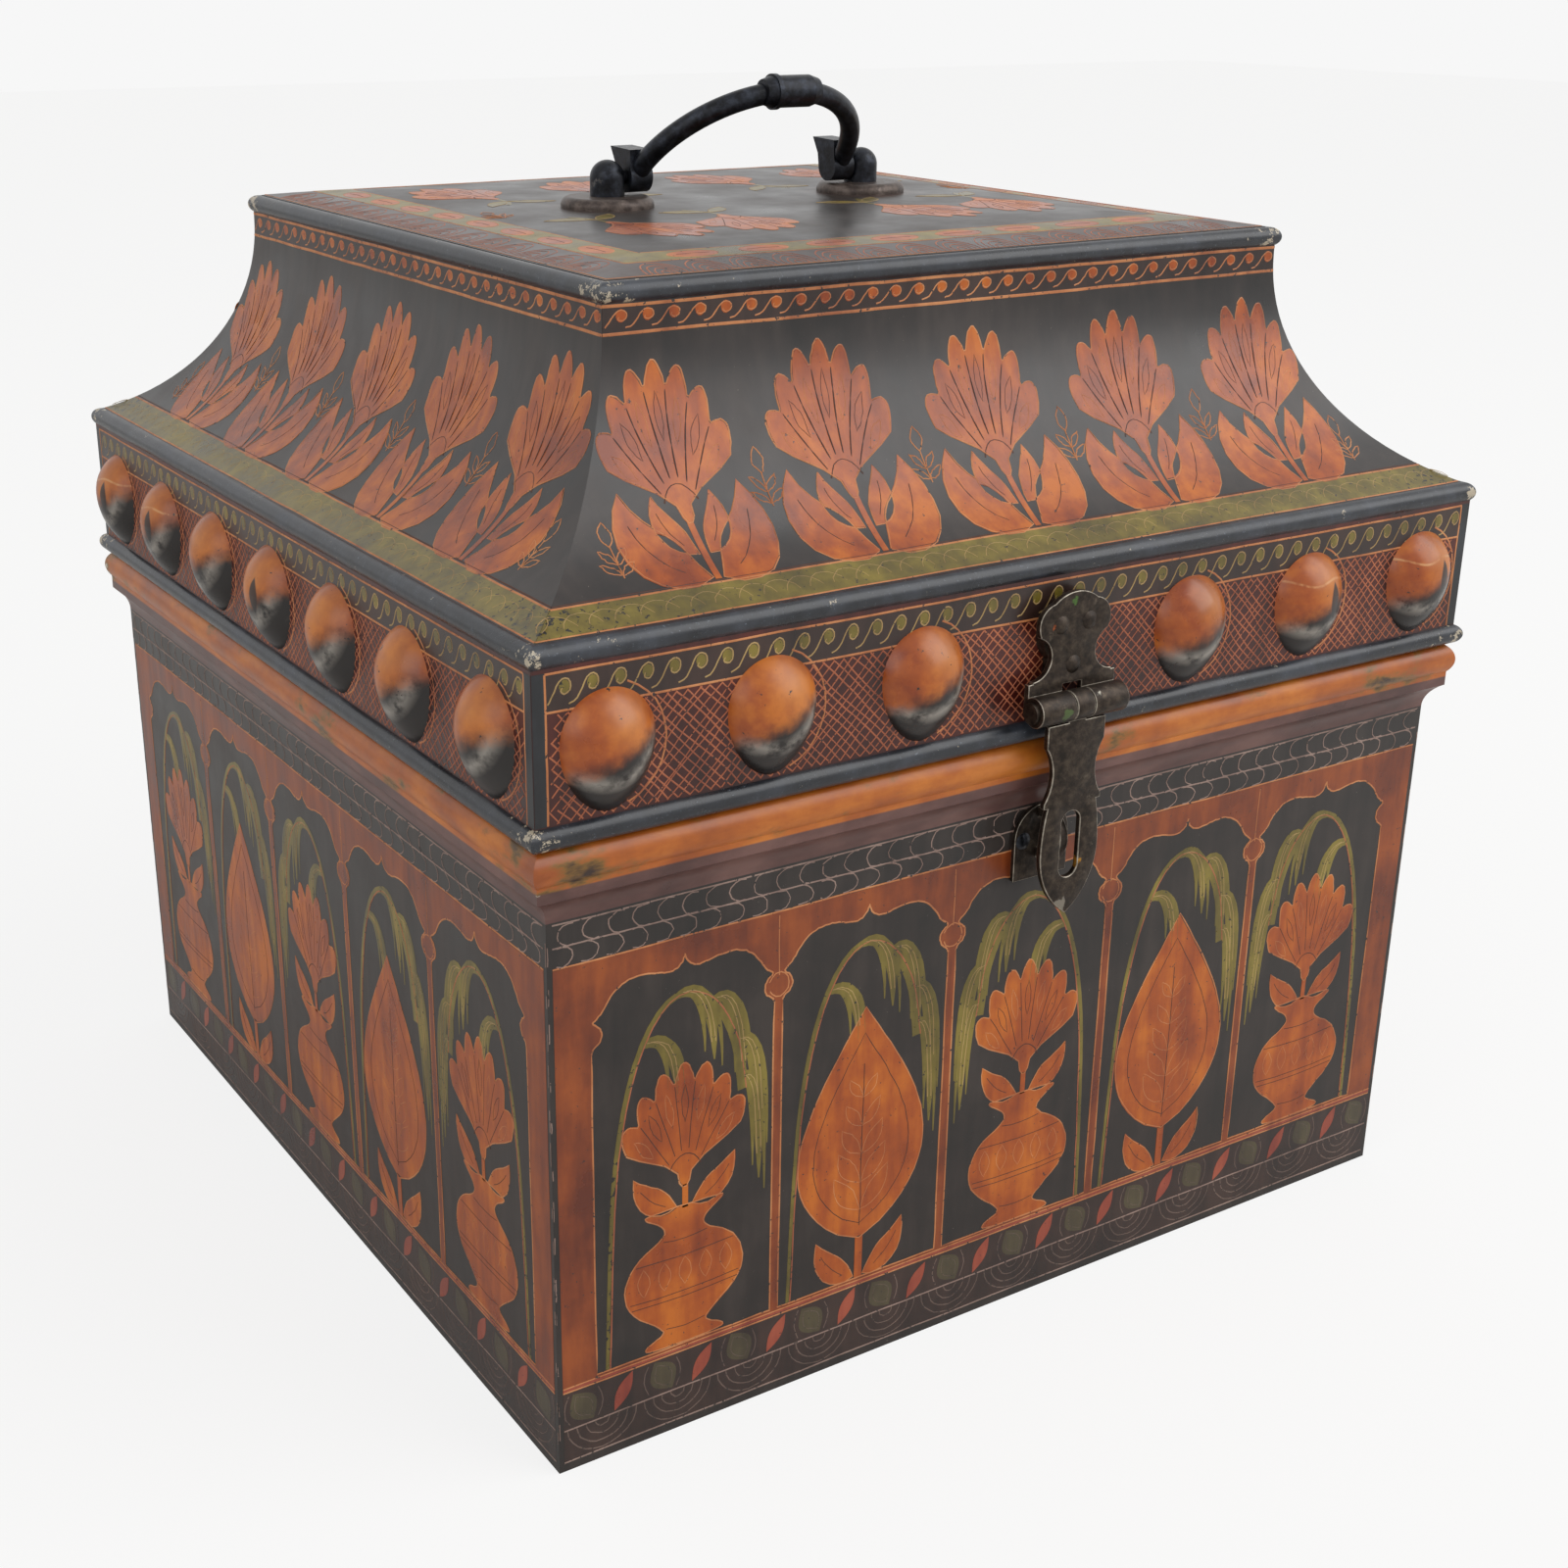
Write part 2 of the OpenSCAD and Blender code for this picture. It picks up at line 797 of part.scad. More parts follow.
// Outline of the plate on the lid: round head, narrow waist, foot as wide as the barrel
module hasp_plate_outline() {
    difference() {
        union() {
            translate([0, hasp_head_z])
                circle(r = hasp_head_r);
            for (x = [-hasp_ear_x, hasp_ear_x])
                translate([x, hasp_head_z + hasp_ear_rise])
                    circle(r = hasp_ear_r);
            translate([-hasp_neck_half_w, hasp_z])
                square([2 * hasp_neck_half_w, hasp_head_z - hasp_z]);
            translate([-hasp_barrel_l / 2, hasp_z])
                square([hasp_barrel_l, hasp_foot_h]);
        }
        for (x = [-hasp_neck_half_w, hasp_neck_half_w])
            translate([x, hasp_notch_z])
                circle(r = hasp_notch_r);
    }
}

module hasp_packing() {
    color(iron)
        on_side(FRONT)
            difference() {
                wall_plate(band_out, hasp_back_e) {
                    translate([0, hasp_head_z])
                        circle(r = hasp_head_r - packing_inset);
                    translate([-packing_half_w, packing_low_z])
                        square([2 * packing_half_w, hasp_head_z - packing_low_z]);
                }
                shanks(hasp_rivet_spots, band_in, hasp_back_e + over, rivet_r + pin_fit);
            }
}

module hasp_hinge_leaf() {
    color(iron)
        on_side(FRONT)
            difference() {
                union() {
                    wall_plate(hasp_back_e, hasp_back_e + leaf_t)
                        hasp_plate_outline();
                    bar_x(-hasp_barrel_l / 2, hasp_barrel_l / 2, hasp_e, hasp_z, hasp_barrel_r);
                }
                bar_x(-hasp_barrel_l, hasp_barrel_l, hasp_e, hasp_z, hasp_pin_r + pin_fit);
                cranked(-hasp_mid_l / 2 - knuckle_gap, hasp_mid_l / 2 + knuckle_gap)
                    translate([hasp_back_e - over, hasp_z - 2 * hasp_barrel_r])
                        square([3 * hasp_barrel_r, 3.3 * hasp_barrel_r]);
                shanks(hasp_rivet_spots, band_in, hasp_e, rivet_r + pin_fit);
            }
}

module hasp_pin() {
    head_l = 1.2;
    head_r = 2.9;
    color(iron)
        on_side(FRONT) {
            bar_x(-hasp_barrel_l / 2, hasp_barrel_l / 2, hasp_e, hasp_z, hasp_pin_r);
            bar_x(-hasp_barrel_l / 2 - head_l, -hasp_barrel_l / 2, hasp_e, hasp_z, head_r);
            bar_x(hasp_barrel_l / 2, hasp_barrel_l / 2 + head_l, hasp_e, hasp_z, head_r);
        }
}

module hasp_rivets() {
    color(iron)
        on_side(FRONT)
            rivets(hasp_rivet_spots, band_in, hasp_back_e + leaf_t);
}

// Outline of the hanging leaf: shoulders, waist, cusps, then a pointed blade
module hasp_leaf_outline() {
    head_half_w = 10;
    head_top_z = hasp_z - hasp_barrel_r - leaf_head_gap;
    waist_r = 14;
    waist_half_w = 7.5;
    tip_drop = leaf_wide_z - leaf_tip_z;
    blade_r = (pow(tip_drop, 2) + pow(leaf_half_w, 2)) / (2 * leaf_half_w);
    upper_r = 58;
    difference() {
        translate([-head_half_w, leaf_shoulder_z])
            square([2 * head_half_w, head_top_z - leaf_shoulder_z]);
        for (x = [-1, 1])
            translate([x * (waist_half_w + waist_r), leaf_waist_z])
                circle(r = waist_r);
    }
    intersection() {
        translate([blade_r - leaf_half_w, leaf_wide_z])
            circle(r = blade_r);
        translate([leaf_half_w - blade_r, leaf_wide_z])
            circle(r = blade_r);
        translate([-leaf_half_w, leaf_tip_z])
            square([2 * leaf_half_w, tip_drop + over]);
    }
    intersection() {
        translate([upper_r - leaf_half_w, leaf_wide_z])
            circle(r = upper_r);
        translate([leaf_half_w - upper_r, leaf_wide_z])
            circle(r = upper_r);
        translate([-leaf_half_w, leaf_wide_z])
            square([2 * leaf_half_w, leaf_shoulder_z - leaf_wide_z + over]);
    }
}

module hasp_leaf() {
    neck_half_w = hasp_mid_l / 2;
    color(iron)
        on_side(FRONT)
            difference() {
                union() {
                    wall_plate(hasp_e - leaf_t / 2, hasp_e + leaf_t / 2) {
                        hasp_leaf_outline();
                        translate([-neck_half_w, hasp_z - hasp_barrel_r - 2 * leaf_head_gap])
                            square([2 * neck_half_w, hasp_barrel_r]);
                    }
                    bar_x(-neck_half_w, neck_half_w, hasp_e, hasp_z, hasp_barrel_r);
                }
                bar_x(-hasp_barrel_l, hasp_barrel_l, hasp_e, hasp_z, hasp_pin_r + pin_fit);
                wall_plate(hasp_e - leaf_t, hasp_e + leaf_t)
                    slot_outline();
            }
}

// Slot with rounded ends
module slot_outline() {
    half_straight = (slot_l - slot_w) / 2;
    translate([-slot_w / 2, slot_mid_z - half_straight])
        square([slot_w, 2 * half_straight]);
    for (z = [-half_straight, half_straight])
        translate([0, slot_mid_z + z])
            circle(r = slot_w / 2);
}

// Back hinges

// Section of the upper leaf: flat on the band, then cranked out to its barrel
module hinge_upper_section() {
    crank_z = hinge_z + hinge_barrel_r + 1.5;
    polygon([
        [band_out, hinge_upper_top_z],
        [band_out + hinge_t, hinge_upper_top_z],
        [band_out + hinge_t, hinge_upper_foot_z],
        [hinge_back_e + hinge_t, crank_z],
        [hinge_back_e + hinge_t, hinge_z],
        [hinge_back_e, hinge_z],
        [hinge_back_e, crank_z - hinge_t / 3],
        [band_out, hinge_upper_foot_z - hinge_t / 3]
    ]);
}

// Section of the lower leaf: from its barrel, past the bead, then flat on the wall
module hinge_lower_section() {
    crank_z = hinge_lower_top_z + 9;
    polygon([
        [0, hinge_lower_tip_z],
        [hinge_t, hinge_lower_tip_z],
        [hinge_t, hinge_lower_top_z],
        [hinge_back_e + hinge_t, crank_z],
        [hinge_back_e + hinge_t, hinge_z],
        [hinge_back_e, hinge_z],
        [hinge_back_e, crank_z + hinge_t / 3],
        [0, hinge_lower_top_z + hinge_t / 3]
    ]);
}

// Outline that rounds the upper leaf's head and points the lower leaf's tip
module hinge_outline() {
    arch_r = 2 * hinge_half_w;
    arch_z = hinge_lower_tip_z + sqrt(pow(arch_r, 2) - pow(arch_r - hinge_half_w, 2));
    translate([0, hinge_upper_top_z - hinge_half_w])
        circle(r = hinge_half_w);
    translate([-hinge_half_w, arch_z])
        square([2 * hinge_half_w, hinge_upper_top_z - hinge_half_w - arch_z]);
    intersection() {
        translate([arch_r - hinge_half_w, arch_z])
            circle(r = arch_r);
        translate([hinge_half_w - arch_r, arch_z])
            circle(r = arch_r);
        translate([-hinge_half_w, hinge_lower_tip_z])
            square([2 * hinge_half_w, arch_z - hinge_lower_tip_z + over]);
    }
    translate([-hinge_barrel_l / 2, hinge_z - hinge_barrel_r])
        square([hinge_barrel_l, 2 * hinge_barrel_r]);
}

// Places a hinge drawn about x = 0 at the left or right of the back wall
module at_hinge(x) {
    on_side(BACK)
        translate([-x, 0, 0])
            children();
}

module hinge_blank(x_from, x_to) {
    intersection() {
        cranked(x_from, x_to)
            children();
        wall_plate(-over, 2 * hinge_e)
            hinge_outline();
    }
}

module hinge_upper_leaf(x) {
    half = hinge_barrel_l / 2;
    mid = hinge_mid_l / 2 + knuckle_gap;
    color(iron)
        at_hinge(x)
            difference() {
                union() {
                    hinge_blank(-half, half)
                        hinge_upper_section();
                    bar_x(-half, half, hinge_e, hinge_z, hinge_barrel_r);
                    for (turn = [0, 1])
                        mirror([turn, 0, 0])
                            cranked(mid, mid + stop_w)
                                stop_nib();
                }
                bar_x(-hinge_barrel_l, hinge_barrel_l, hinge_e, hinge_z, hinge_pin_r + pin_fit);
                cranked(-mid, mid)
                    translate([hinge_back_e - over, hinge_z - 2 * hinge_barrel_r])
                        square([4 * hinge_barrel_r, 3.2 * hinge_barrel_r]);
                shanks(hinge_upper_spots, band_in, hinge_e, rivet_r + pin_fit);
            }
}

// The nib that meets the lower leaf when the lid is fully open
module stop_nib() {
    face_e = -hinge_barrel_r + hinge_t + stop_clear;
    translate([hinge_e, hinge_z])
        rotate(lid_open)
            translate([face_e, -hinge_barrel_r - stop_reach])
                square([stop_depth, hinge_barrel_r]);
}

module hinge_lower_leaf(x) {
    half = hinge_barrel_l / 2;
    mid = hinge_mid_l / 2;
    color(iron)
        at_hinge(x)
            difference() {
                union() {
                    difference() {
                        hinge_blank(-hinge_half_w, hinge_half_w)
                            hinge_lower_section();
                        for (turn = [0, 1])
                            mirror([turn, 0, 0])
                                bar_x(mid, half, hinge_e, hinge_z, hinge_barrel_r + knuckle_gap);
                    }
                    bar_x(-mid, mid, hinge_e, hinge_z, hinge_barrel_r);
                }
                bar_x(-hinge_barrel_l, hinge_barrel_l, hinge_e, hinge_z, hinge_pin_r + pin_fit);
                shanks(hinge_lower_spots, -over, hinge_t + over, rivet_r + pin_fit);
            }
}

module hinge_pins() {
    head_l = 1.2;
    head_r = 2.4;
    half = hinge_barrel_l / 2;
    color(iron)
        for (x = [-hinge_x, hinge_x])
            at_hinge(x) {
                bar_x(-half, half, hinge_e, hinge_z, hinge_pin_r);
                bar_x(-half - head_l, -half, hinge_e, hinge_z, head_r);
                bar_x(half, half + head_l, hinge_e, hinge_z, head_r);
            }
}

module hinge_upper_rivets() {
    color(iron)
        for (x = [-hinge_x, hinge_x])
            at_hinge(x)
                rivets(hinge_upper_spots, band_in, band_out + hinge_t);
}

module hinge_lower_rivets() {
    color(iron)
        for (x = [-hinge_x, hinge_x])
            at_hinge(x)
                rivets(hinge_lower_spots, -sheet, hinge_t);
}

base_panel();
wall(FRONT);  // front_wall
wall(RIGHT);  // right_wall
wall(BACK);  // back_wall
wall(LEFT);  // left_wall
rim_moulding(FRONT);  // rim_moulding_front
rim_moulding(RIGHT);  // rim_moulding_right
rim_moulding(BACK);  // rim_moulding_back
rim_moulding(LEFT);  // rim_moulding_left
collar(FRONT);  // collar_front
collar(RIGHT);  // collar_right
collar(BACK);  // collar_back
collar(LEFT);  // collar_left
staple_plate();
staple();
staple_rivets();
hinge_lower_leaf(-hinge_x);  // hinge_lower_leaf_left
hinge_lower_leaf(hinge_x);  // hinge_lower_leaf_right
hinge_lower_rivets();
lid_band(FRONT);  // lid_band_front
lid_band(RIGHT);  // lid_band_right
lid_band(BACK);  // lid_band_back
lid_band(LEFT);  // lid_band_left
bosses(FRONT, front_bosses);  // bosses_front
bosses(RIGHT, side_bosses);  // bosses_right
bosses(BACK, back_bosses);  // bosses_back
bosses(LEFT, side_bosses);  // bosses_left
roll(FRONT, rim_e, rim_z, rim_r);  // rim_roll_front
roll(RIGHT, rim_e, rim_z, rim_r);  // rim_roll_right
roll(BACK, rim_e, rim_z, rim_r);  // rim_roll_back
roll(LEFT, rim_e, rim_z, rim_r);  // rim_roll_left
roll(FRONT, shoulder_e, shoulder_z, shoulder_r);  // shoulder_roll_front
roll(RIGHT, shoulder_e, shoulder_z, shoulder_r);  // shoulder_roll_right
roll(BACK, shoulder_e, shoulder_z, shoulder_r);  // shoulder_roll_back
roll(LEFT, shoulder_e, shoulder_z, shoulder_r);  // shoulder_roll_left
cove(FRONT);  // cove_front
cove(RIGHT);  // cove_right
cove(BACK);  // cove_back
cove(LEFT);  // cove_left
roll(FRONT, top_roll_e, top_roll_z, top_roll_r);  // top_roll_front
roll(RIGHT, top_roll_e, top_roll_z, top_roll_r);  // top_roll_right
roll(BACK, top_roll_e, top_roll_z, top_roll_r);  // top_roll_back
roll(LEFT, top_roll_e, top_roll_z, top_roll_r);  // top_roll_left
top_panel();
mirror([1, 0, 0]) handle_plate();  // handle_plate_left
handle_plate();  // handle_plate_right
mirror([1, 0, 0]) handle_post();  // handle_post_left
handle_post();  // handle_post_right
post_washers();
hasp_packing();
hasp_hinge_leaf();
hasp_pin();
hasp_rivets();
hinge_upper_leaf(-hinge_x);  // hinge_upper_leaf_left
hinge_upper_leaf(hinge_x);  // hinge_upper_leaf_right
hinge_pins();
hinge_upper_rivets();
bail();
grip_ferrule();
hasp_leaf();
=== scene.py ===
# %% [markdown]
# # A lacquered tin trunk
# The real trunk is tinplate, bent and soldered into a box with a hollow-sided lid. It was coated with dark
# lacquer and painted with orange and olive ornament, and fine lines were scratched through the paint. The
# solid model already has every sheet, roll and hinge, so this lesson dresses it: grounds, ornament, iron
# and wear.

# %% Load the frame
import cmath
import math
import random
import bpy
import numpy as np
from mathutils import Matrix, Vector


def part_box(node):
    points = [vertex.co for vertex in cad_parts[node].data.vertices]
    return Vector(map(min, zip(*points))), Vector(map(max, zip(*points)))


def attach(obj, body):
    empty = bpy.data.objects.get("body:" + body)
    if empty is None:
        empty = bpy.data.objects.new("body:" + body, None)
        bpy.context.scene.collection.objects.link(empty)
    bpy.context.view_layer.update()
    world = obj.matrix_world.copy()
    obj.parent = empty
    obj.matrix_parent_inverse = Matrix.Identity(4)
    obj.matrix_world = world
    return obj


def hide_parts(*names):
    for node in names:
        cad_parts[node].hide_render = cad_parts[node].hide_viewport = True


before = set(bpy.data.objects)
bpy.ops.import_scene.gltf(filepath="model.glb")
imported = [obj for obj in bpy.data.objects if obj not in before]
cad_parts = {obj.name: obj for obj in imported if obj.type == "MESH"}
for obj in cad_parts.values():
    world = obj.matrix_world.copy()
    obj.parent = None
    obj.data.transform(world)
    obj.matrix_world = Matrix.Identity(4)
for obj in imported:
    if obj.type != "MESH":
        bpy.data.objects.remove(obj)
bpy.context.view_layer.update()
random.seed(11)
MM = 0.001
SIDES = ["front", "right", "back", "left"]
print("nodes in the frame:", len(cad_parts))

# %% [markdown]
# ## Camera
# The photograph was taken from the front left and a little above. The lens and the angle were worked out
# from the trunk's own corners, so the camera is set from those values and not by eye. A small shift keeps
# the trunk where it stands in the picture.

# %% Camera
camera_place = Vector((-371.7, -575.4, 380.5)) * MM
camera_aim = Vector((-6.64, 0, 118.37)) * MM
camera_roll = math.radians(0.31)
camera_lens_mm = 49.2
camera_shift = (0.0428, -0.0032)


def new_object(name, data):
    made = bpy.data.objects.new(name, data)
    bpy.context.collection.objects.link(made)
    return made


def set_camera():
    data = bpy.data.cameras.new("camera")
    data.lens = camera_lens_mm
    data.sensor_width = 36
    data.shift_x, data.shift_y = camera_shift
    camera = new_object("camera", data)
    look = (camera_aim - camera_place).to_track_quat("-Z", "Y").to_matrix()
    turn = look @ Matrix.Rotation(camera_roll, 3, "Z")
    camera.matrix_world = Matrix.Translation(camera_place) @ turn.to_4x4()
    bpy.context.scene.camera = camera


set_camera()

# %% [markdown]
# ## Two helpers for materials
# Paint colours are easiest to compare with a picture as sRGB hex values, but a shader works in linear
# light, so one function turns them. The other adds any shader node with its settings and links, and gives
# back the output that the next node needs. A kind such as "Math MULTIPLY" names a node and its operation.
# Noise sizes are written in millimetres and turned into a scale by `per`.

# %% Colour and node helpers


def paint(code):
    parts = [int(code[i:i + 2], 16) / 255 for i in (1, 3, 5)]
    line = [c / 12.92 if c <= 0.04045 else ((c + 0.055) / 1.055) ** 2.4 for c in parts]
    return (*line, 1)


def per(size_mm):
    return 1 / (size_mm * MM)


def add(tree, kind, inputs=None, out=0, stops=None, **settings):
    kind, _, operation = kind.partition(" ")
    node = tree.nodes.new("ShaderNode" + kind)
    if operation:
        node.operation = operation
    for name, value in settings.items():
        setattr(node, name, value)
    for socket, value in (inputs or {}).items():
        if isinstance(value, bpy.types.NodeSocket):
            tree.links.new(value, node.inputs[socket])
        else:
            node.inputs[socket].default_value = value
    if stops:
        bar = node.color_ramp.elements
        while len(bar) < len(stops):
            bar.new(1)
        for mark, (place, code) in zip(bar, stops):
            mark.position = place
            mark.color = paint(code)
    return node.outputs[out]


# %% [markdown]
# ## Floor and light
# A pale floor and broad soft lamps show lacquer well: they give long, quiet highlights instead of hard
# dots. The main lamp stands to the right and high, as the light in the picture does, and a weak one fills
# the left. The white background is seen by the camera and in reflections only, so it doesn't wash out the
# colours.

# %% Floor and light
floor_glow = 0.82
world_light, world_seen = 0.56, 0.93
lamp_aim = Vector((0, 0, 0.15))


def set_floor():
    bpy.ops.mesh.primitive_plane_add(size=12)
    floor = bpy.context.object
    floor.name = "floor"
    surface = bpy.data.materials.new("pale_floor")
    surface.use_nodes = True
    shader = surface.node_tree.nodes["Principled BSDF"]
    shader.inputs["Base Color"].default_value = paint("#e9e8e5")
    shader.inputs["Roughness"].default_value = 0.9
    tree = surface.node_tree
    glow = add(tree, "Emission", {"Color": (1, 1, 1, 1), "Strength": 1.0})
    camera_ray = add(tree, "LightPath", out="Is Camera Ray")
    share = add(tree, "Math MULTIPLY", {0: camera_ray, 1: floor_glow})
    seen = add(tree, "MixShader", {0: share, 1: shader.outputs[0], 2: glow})
    tree.links.new(seen, tree.nodes["Material Output"].inputs["Surface"])
    floor.data.materials.append(surface)


def set_lamp(name, place, size, power):
    data = bpy.data.lights.new(name, "AREA")
    data.size = size
    data.energy = power
    lamp = new_object(name, data)
    lamp.location = place
    lamp.rotation_euler = (lamp_aim - Vector(place)).to_track_quat("-Z", "Y").to_euler()


def set_world():
    world = bpy.data.worlds.new("studio")
    world.use_nodes = True
    tree = world.node_tree
    seen = add(tree, "LightPath", out="Is Camera Ray")
    for kind in ("Glossy", "Transmission"):
        ray = add(tree, "LightPath", out=f"Is {kind} Ray")
        seen = add(tree, "Math MAXIMUM", {0: seen, 1: ray})
    strength = add(tree, "Mix", {0: seen, 2: world_light, 3: world_seen}, data_type="FLOAT")
    tree.nodes["Background"].inputs["Color"].default_value = (1, 1, 1, 1)
    tree.links.new(strength, tree.nodes["Background"].inputs["Strength"])
    bpy.context.scene.world = world


set_floor()
set_world()
set_lamp("key_lamp", (1.2, -1.3, 1.6), 1.9, 27)
set_lamp("fill_lamp", (-1.6, -0.6, 1.1), 1.2, 5)
bpy.context.scene.view_settings.view_transform = "Standard"

# %% [markdown]
# ## Lacquer
# The ground is oil lacquer over tin: dark, a little brown, glossy and never even. Noise at two sizes gives
# cloudy patches and brush drag, and a third gives small chips where the coat has come away. Lacquer has an
# IOR near 1.5. The same function makes every paint, because the ornament is pigment in the same lacquer.
# `layer` lays one colour over another where a value runs from start to end. Knocks come at the corners.
# Near a corner both distances from the middle are long, so the smaller one says how near a point is.

# %% Lacquer paints


def start_finish(name, roughness, metallic=0.0):
    material = bpy.data.materials.new(name)
    material.use_nodes = True
    tree = material.node_tree
    shader = tree.nodes["Principled BSDF"]
    shader.inputs["Roughness"].default_value = roughness
    shader.inputs["Metallic"].default_value = metallic
    place = add(tree, "TexCoord", out="Object")
    return material, tree, shader, place


def gap(tree, one, other):
    apart = add(tree, "Math SUBTRACT", {0: one, 1: other})
    return add(tree, "Math ABSOLUTE", {0: apart})


def cloudy_coat(tree, place, low, mid, high, drag_stretch=(1, 1, 0.16)):
    cloud = add(tree, "TexNoise", {"Vector": place, "Scale": per(26), "Detail": 5, "Roughness": 0.6})
    stretched = add(tree, "Mapping", {"Vector": place, "Scale": drag_stretch})
    drag = add(tree, "TexNoise", {"Vector": stretched, "Scale": per(5), "Detail": 4, "Roughness": 0.55})
    part = add(tree, "Math MULTIPLY", {0: drag, 1: 0.4})
    grain = add(tree, "Math MULTIPLY_ADD", {0: cloud, 1: 0.6, 2: part})
    colour = add(tree, "ValToRGB", {"Fac": grain}, stops=[(0.38, low), (0.5, mid), (0.62, high)])
    return colour, cloud, drag


def layer(tree, under, over, value, start, end, most=1.0, **settings):
    span = {"Value": value, "From Min": start, "From Max": end, "To Max": most}
    share = add(tree, "MapRange", span, **settings)
    return add(tree, "Mix", {0: share, 6: under, 7: over}, out=2, data_type="RGBA")


def chipped(tree, place, colour, under, size_mm, share):
    spots = add(tree, "TexNoise", {"Vector": place, "Scale": per(size_mm), "Detail": 3, "Roughness": 0.7})
    return layer(tree, colour, paint(under), spots, 1 - share, 1.03 - share)


def skin(tree, shader, colour, cloud, drag, roughness, depth_mm, spread=(0.07, 0.1), strength=0.5):
    rough = add(tree, "MapRange", {"Value": cloud, "From Min": 0.3, "From Max": 0.7,
                                   "To Min": roughness - spread[0], "To Max": roughness + spread[1]})
    bump = add(tree, "Bump", {"Height": drag, "Distance": depth_mm * MM, "Strength": strength})
    for socket, value in (("Base Color", colour), ("Roughness", rough), ("Normal", bump)):
        tree.links.new(value, shader.inputs[socket])


def corner_nearness(tree, place, corner_mm, run_mm):
    size = add(tree, "VectorMath ABSOLUTE", {0: place})
    across = add(tree, "SeparateXYZ", {0: size}, out="X")
    along = add(tree, "SeparateXYZ", {0: size}, out="Y")
    least = add(tree, "Math MINIMUM", {0: across, 1: along})
    start = (corner_mm - run_mm) * MM
    return add(tree, "MapRange", {"Value": least, "From Min": start, "From Max": corner_mm * MM})


def lacquer(name, low, mid, high, roughness=0.31, chip_share=0.33, corner_mm=None):
    material, tree, shader, place = start_finish(name, roughness)
    colour, cloud, drag = cloudy_coat(tree, place, low, mid, high)
    colour = chipped(tree, place, colour, "#2c2624", 1.6, chip_share)
    if corner_mm:
        near = corner_nearness(tree, place, corner_mm, 46)
        dots = add(tree, "TexNoise", {"Vector": place, "Scale": per(1.5), "Detail": 2, "Roughness": 0.6})
        lifted = add(tree, "Math MULTIPLY_ADD", {0: near, 1: 0.13, 2: dots})
        colour = layer(tree, colour, paint("#1b1918"), lifted, 0.7, 0.72)
    skin(tree, shader, colour, cloud, drag, roughness, 0.06)
    return material


paints = {
    "black": lacquer("black_corner_lacquer", "#141518", "#1d1f23", "#2a2d33"),
    "brown": lacquer("brown_ground_lacquer", "#231714", "#30201b", "#3d2a23"),
    "frame": lacquer("arcade_lacquer", "#5f2610", "#7e3812", "#974916"),
    "olive": lacquer("olive_lacquer", "#50461a", "#6b5d20", "#84742c", chip_share=0.35, corner_mm=156),
    "dull_olive": lacquer("dull_olive_lacquer", "#372f20", "#453c28", "#534a31"),
    "orange": lacquer("orange_lacquer", "#82350c", "#a54c0c", "#c26712"),
    "red": lacquer("red_lacquer", "#7a2f22", "#92402c", "#a55037"),
    "light": lacquer("scratched_light_line", "#96552f", "#b87343", "#cb8a58", 0.5, 0.38),
    "salmon": lacquer("scratched_salmon_line", "#84432a", "#a65d3c", "#b9704c", 0.5, 0.4),
    "pink": lacquer("scratched_pink_line", "#6d574e", "#8a7268", "#9d857a", 0.55, 0.4),
    "faint": lacquer("worn_pink_line", "#4b3b34", "#604e46", "#756157", 0.55, 0.42),
    "yellow": lacquer("scratched_yellow_line", "#80643a", "#9e8150", "#b3965f", 0.5, 0.38),
    "dark": lacquer("incised_dark_line", "#351a10", "#452213", "#553019", 0.6),
}
print("paints:", len(paints))

# %% [markdown]
# ## Sheets that are lacquered outside and bare inside
# A tinsmith lacquers only what shows. The inside stays tinned: a dull grey metal with soft cloudy marks.
# One material covers both faces of a sheet by asking which way the surface faces: outwards is lacquer,
# inwards is tin. The face's own direction is used, so the lid keeps its bare inside when it opens.

# %% Ground lacquer with a bare tin inside
inner_middle_mm = 120


def tin_inside(tree, shader, place, colour):
    middle = add(tree, "VectorMath SUBTRACT", {0: place, 1: (0, 0, inner_middle_mm * MM)})
    facing = add(tree, "TexCoord", out="Normal")
    reach = add(tree, "VectorMath DOT_PRODUCT", {0: facing, 1: middle}, out="Value")
    outside = add(tree, "Math GREATER_THAN", {0: reach, 1: 0.0})
    marks = add(tree, "TexNoise", {"Vector": place, "Scale": per(14), "Detail": 6, "Roughness": 0.7})
    tin_stops = [(0.35, "#6d6a63"), (0.5, "#8d897f"), (0.66, "#a5a198")]
    tin = add(tree, "ValToRGB", {"Fac": marks}, stops=tin_stops)
    metal = add(tree, "MapRange", {"Value": outside, "To Min": 0.85, "To Max": 0.0})
    tree.links.new(metal, shader.inputs["Metallic"])
    return add(tree, "Mix", {0: outside, 6: tin, 7: colour}, out=2, data_type="RGBA")


def ground(name, low, mid, high, roughness=0.34, rubbed_round=()):
    material, tree, shader, place = start_finish(name, roughness)
    colour, cloud, drag = cloudy_coat(tree, place, low, mid, high)
    colour = chipped(tree, place, colour, "#8d8478", 0.9, 0.27)
    for spot, size_mm in rubbed_round:
        apart = add(tree, "VectorMath DISTANCE", {0: place, 1: spot}, out="Value")
        ragged = add(tree, "Math MULTIPLY_ADD", {0: cloud, 1: 26 * MM, 2: apart})
        rubbed = (size_mm + 18) * MM, (size_mm + 8) * MM
        colour = layer(tree, colour, paint("#5c4038"), ragged, *rubbed, 0.6)
    colour = tin_inside(tree, shader, place, colour)
    skin(tree, shader, colour, cloud, drag, roughness, 0.05)
    return material


